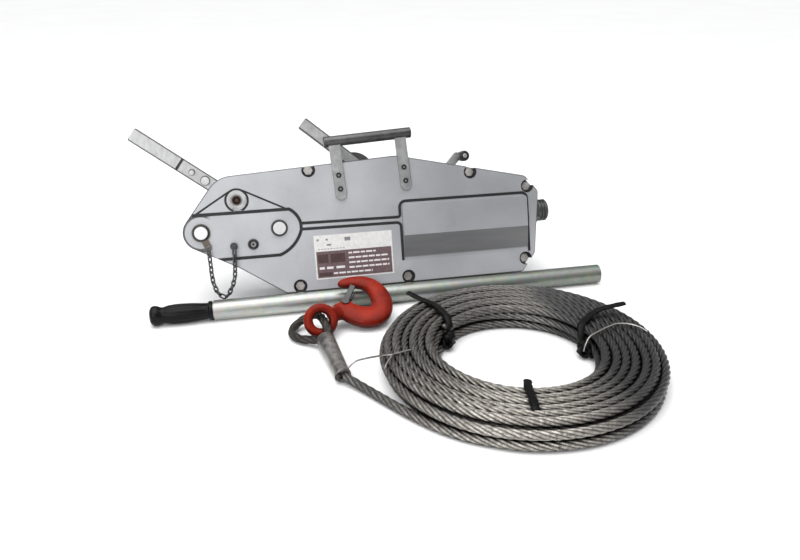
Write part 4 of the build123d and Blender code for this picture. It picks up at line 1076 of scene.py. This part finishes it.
def chain_line(start, end):
    """The chain's middle line, from the pin's tab to the screw eye, and its length."""
    drop = Vector((0, -0.005, -0.003))
    low = Vector((start.x * 0.55 + end.x * 0.45, start.y - 0.002, CHAIN_LOW))
    rows = [start + drop, start + drop + Vector((0.0008, -0.002, -0.014)),
            Vector((start.x + 0.0015, start.y - 0.006, 0.05)),
            low + Vector((-0.0085, 0, 0.007)), low, low + Vector((0.0065, 0, 0.0055)),
            Vector((end.x - 0.003, end.y - 0.006, 0.052)),
            end + drop + Vector((-0.0004, -0.002, -0.014)), end + drop]
    return even_points([Vector(row) for row in smooth_rows(rows, 10)], CHAIN_STEP)


def chain_link(centre, tangent, flat, half_long):
    """One welded link, long along the tangent and wide along its flat."""
    thick = tangent.cross(flat)
    line = []
    for j in range(LINK_STEPS):
        angle = 2 * pi * j / LINK_STEPS
        stretch = copysign(half_long - LINK_HALF_WIDE, cos(angle))
        line.append(centre + tangent * (LINK_HALF_WIDE * cos(angle) + stretch)
                    + flat * (LINK_HALF_WIDE * sin(angle)))
    rings = []
    for j in range(LINK_STEPS):
        ahead = (line[(j + 1) % LINK_STEPS] - line[j - 1]).normalized()
        rings.append(circle(line[j], ahead.cross(thick), thick, LINK_WIRE_R, 8))
    return skin(rings, closed=True)


def add_chain(material):
    """Welded links, each turned a quarter from the last."""
    start, end = on_face(-196.5, 70.5, 47.0), on_face(-163.5, 69.5, 49.9)
    points, length = chain_line(start, end)
    frames = carried_frames(points)
    half_long = length / CHAIN_LINKS / 2 + LINK_WIRE_R * 0.9
    links = []
    for k in range(CHAIN_LINKS):
        middle = round((k + 0.5) * (len(frames) - 1) / CHAIN_LINKS)
        centre, tangent, side, other = frames[middle]
        links.append(chain_link(centre, tangent, side if k % 2 else other, half_long))
    chain = add_mesh("pin_chain_links", *joined(links), material, None)
    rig.blend(chain, "casing", "anchor_pin", start=end, end=start)
    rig.replaces(chain, "pin_chain")
    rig.slot(chain, "steel")


# the grip: places from its left end and radii, in millimetres
GRIP_LEFT = -315.0
GRIP_PROFILE = [
    (0, 4), (0.4, 7.4), (1.6, 10.4), (3.4, 12.4), (6, 13.3), (8.8, 13.3), (11.6, 12.6),
    (14.2, 11.2), (17.5, 10.5), (23, 11.9), (30, 12.8), (38, 13.1), (48, 12.8),
    (58, 12.1), (66, 11.3), (72, 10.8), (75.4, 10.8), (76.4, 12), (77.2, 12.8),
    (80.6, 12.8), (81.5, 12.2), (81.5, 9),
]
FLUTES, FLUTE_DEPTH, FLUTED_FROM, FLUTED_TO, FLUTE_FADE = 14, 0.55, 19, 72, 6
LOBES, LOBE_DEPTH, LOBES_FROM, LOBES_TO = 6, 0.35, 2, 13
GRIP_LIMIT = 13.4


def add_grip(material):
    """The moulded grip: a bulb, a fluted barrel and a flange against the tube."""
    sides = FLUTES * 8
    rings = []
    for x, radius in smooth_rows(GRIP_PROFILE, 4):
        fluted = max(0.0, min(1.0, (x - FLUTED_FROM) / FLUTE_FADE, (FLUTED_TO - x) / FLUTE_FADE))
        ring = []
        for j in range(sides):
            angle = 2 * pi * j / sides
            r = radius - FLUTE_DEPTH * fluted * max(0.0, cos(FLUTES * angle)) ** 2
            if LOBES_FROM < x < LOBES_TO:
                r -= LOBE_DEPTH * max(0.0, cos(LOBES * angle))
            r = min(r, GRIP_LIMIT)
            ring.append(Vector((GRIP_LEFT + x, TUBE_Y + r * cos(angle),
                                TUBE_R + r * sin(angle))) * MM)
        rings.append(ring)
    grip = add_mesh("grip_rubber", *skin(rings), material, "handle_inner")
    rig.replaces(grip, "handle_grip")
    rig.slot(grip, "black_rubber")


# the label's blocks: left, bottom, width and height
LABEL_CENTRE, LABEL_SIZE, LABEL_TOP = (-3.5, 44.5), (108, 60), 44.6
LABEL_PANEL = [(2, 2, 104, 36)]
LABEL_CELLS = [(4, 22, 14, 12), (21, 22, 20, 12), (4, 4, 18, 5)]
LABEL_LONG_BARS = [(5, 13.5, 7, 3.2), (15, 13.5, 9, 3.2), (28, 13.5, 12, 3.2)]
LABEL_MARKS = [(4, 52.5, 2.6, 2.6), (16, 52.5, 3, 2.6), (17, 45.4, 6, 2.2),
               (42, 50.5, 8, 5)] + [(5 + k * 4.2, 40.6, 2.6, 1) for k in range(9)]
LABEL_ROWS = ((46, 84), (46, 102), (46, 102), (46, 102), (24, 78))
ROWS_TOP, ROW_PITCH, BAR_HIGH, BAR_GAP = 32.4, 6.6, 2.3, 1.5
BOX_FACES = ((3, 2, 1, 0), (4, 5, 6, 7), (0, 1, 5, 4), (1, 2, 6, 5), (2, 3, 7, 6), (3, 0, 4, 7))


def add_blocks(name, blocks, thick, finish):
    """Thin blocks on the label; the finish is a name and two colours."""
    left, low = [middle - size / 2 for middle, size in zip(LABEL_CENTRE, LABEL_SIZE)]
    boxes = []
    for x, y, wide, high in blocks:
        corners = ((x, y), (x + wide, y), (x + wide, y + high), (x, y + high))
        boxes.append(([on_face(left + a, low + b, depth)
                       for depth in (LABEL_TOP - 0.05, LABEL_TOP + thick)
                       for a, b in corners], BOX_FACES))
    piece = add_mesh(name, *joined(boxes), label_print(*finish), "casing", smooth=False)
    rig.slot(piece, "label")


def add_label():
    """A plain rating plate: a dark panel with rows of blank bars, and no lettering."""
    bars = []
    for row, (x, stop) in enumerate(LABEL_ROWS):
        count = 0
        while x < stop:
            wide = 5.0 + 4.0 * abs(sin(row * 2.3 + count * 1.7))
            bars.append((x, ROWS_TOP - row * ROW_PITCH, min(wide, stop - x), BAR_HIGH))
            x += wide + BAR_GAP
            count += 1
    add_blocks("label_panel", LABEL_PANEL, 0.08,
               ("label_dark_finish", (0.1, 0.062, 0.066), (0.15, 0.1, 0.105)))
    add_blocks("label_cells", LABEL_CELLS, 0.14,
               ("label_darker_finish", (0.045, 0.022, 0.022), (0.075, 0.035, 0.033)))
    add_blocks("label_bars", bars + LABEL_LONG_BARS, 0.2,
               ("label_pale_finish", (0.66, 0.62, 0.62), (0.8, 0.77, 0.77)))
    add_blocks("label_marks", LABEL_MARKS, 0.1,
               ("label_grey_finish", (0.16, 0.16, 0.17), (0.26, 0.26, 0.27)))


# -------- the scene
add_camera()
add_lights()

FINISHES = {
    "casing_paint": casing_paint(),
    "zinc": plated("zinc_finish", 0.62, 0.46, (0.26, 0.42)),
    "steel": plated("steel_finish", 0.36, 0.22, (0.3, 0.5)),
    "dark_steel": plated("dark_steel_finish", 0.115, 0.05, (0.3, 0.48), 0.9),
    "lever_steel": lever_steel("lever_steel_finish", CRANK_AT, LEVER_ANGLE, LEVER_HALF,
                               LEVER_END, LEVER_STEP, LEVER_PINS),
    "galvanised_tube": galvanised(),
    "black_rubber": rubber("rubber_finish", 0.0015, 0.005, (0.26, 0.4), 0.16),
    "black_plastic": rubber("plastic_finish", 0.006, 0.016, (0.26, 0.4)),
    "label": label_print("label_base_finish", (0.62, 0.61, 0.6), (0.74, 0.73, 0.72)),
    "hook_paint": hook_paint(),
    # the ferrule's edges darkened as painted shade
    "ferrule": plated("ferrule_finish", 0.36, 0.1, (0.3, 0.5), 0.9, 0.05, 120.0, 0.4,
                      (0.6, 0.2)),
    "rope": rope_steel("rope_finish", (0.7, 0.665, 0.61), (0.2, 0.185, 0.16),
                       (0.048, 0.052, 0.055)),
    "tie": rubber("tie_finish", 0.0015, 0.004, (0.34, 0.5), 0.12),
    "tie_wire": plated("tie_wire_finish", 0.42, 0.22, (0.3, 0.45), warm=0.05),
}

# the pin heads: a bright face ringed with painted shade at the rim
PIN_METAL = spotted("pin_finish", [ANCHOR_PIN_AT, FIXED_PIN_AT],
                    [(8.4, grey(0.86)), (PIN_HEAD_R + 0.6, grey(0.045))], (0.15, 0.13, 0.11))
# the bolts' edges darkened as painted shade
BOLT_METAL = plated("bolt_finish", 0.58, 0.34, (0.34, 0.5), 0.9, 0.05, edge=(0.9, 0.12))
# nodes that look different from the rest of their slot
NODE_FINISHES = {
    "fixed_pins": PIN_METAL,
    "anchor_pin": PIN_METAL,
    "casing_bolts": BOLT_METAL,
    "casing_nuts": BOLT_METAL,
    # the straps' edges darkened as painted shade
    "carry_straps": plated("strap_finish", 0.62, 0.44, (0.28, 0.42), edge=(0.9, 0.08)),
    "crank_shaft": spotted("crank_finish", [CRANK_AT],
                           [(2.4, (0.1, 0.055, 0.04)), (5.0, (0.016, 0.012, 0.01)),
                            (6.4, (0.12, 0.085, 0.07))], grey(0.36)),
    "cheek_screw": spotted("cheek_screw_finish", [CHEEK_SCREW_AT],
                           [(1.4, grey(0.02)), (3.5, grey(0.34))], grey(0.028)),
    "strap_screws": spotted("strap_screw_finish", STRAP_SCREWS_AT, [(1.5, grey(0.45))],
                            grey(0.03)),
    "reverse_lever": lever_steel("reverse_lever_finish", REVERSE_TIP, REVERSE_ANGLE,
                                 REVERSE_HALF, REVERSE_HALF),
    "hook_latch": FINISHES["dark_steel"],
    "chain_eyelet": FINISHES["dark_steel"],
}

slots_of_nodes = {row["node"]: row["material_slot"] for row in frame["record"]["subparts"]}
for node_name, node in NODES.items():
    node.data.materials.clear()
    node.data.materials.append(NODE_FINISHES.get(node_name, FINISHES[slots_of_nodes[node_name]]))

rope, rope_path, rope_length = add_rope(FINISHES["rope"])
ties = add_ties(FINISHES["tie"], FINISHES["tie_wire"])
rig.cord(rope, exit=LEAD_ROUTE[0], length=rope_length, diameter=ROPE_D, far_end="bare",
        stiffness="stiff", lay="coiled", path=rope_path, with_pieces=ties)
# the loop's rope: a darker copy of the rope's colours, painted in shade
add_rope_eye(rope_steel("rope_eye_finish", (0.22, 0.2, 0.17), (0.07, 0.062, 0.055),
                        (0.024, 0.023, 0.021)), FINISHES["ferrule"])
add_hook(FINISHES["hook_paint"])
add_chain(plated("chain_finish", 0.15, 0.05, (0.26, 0.42)))
add_grip(FINISHES["black_rubber"])
add_label()
bpy.context.scene.view_settings.view_transform = "Standard"

floor_mesh = bpy.data.meshes.new("floor")
floor_mesh.from_pydata([(-30, -30, 0), (30, -30, 0), (30, 30, 0), (-30, 30, 0)], [], [(0, 1, 2, 3)])
floor = link(bpy.data.objects.new("floor", floor_mesh))
paving = Finish("floor_finish")
paving.set(base_color=paving.ramp(paving.noise(3, 4), (0.3, grey(0.93)), (0.7, grey(0.96))),
           roughness=0.9)
floor_mesh.materials.append(paving.material)
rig.stage(floor)

with open("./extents.json", "w") as size_file:
    json.dump({"cad": [list(v) for v in CAD_BOX], "visual": [list(v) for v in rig.bounds()]}, size_file)
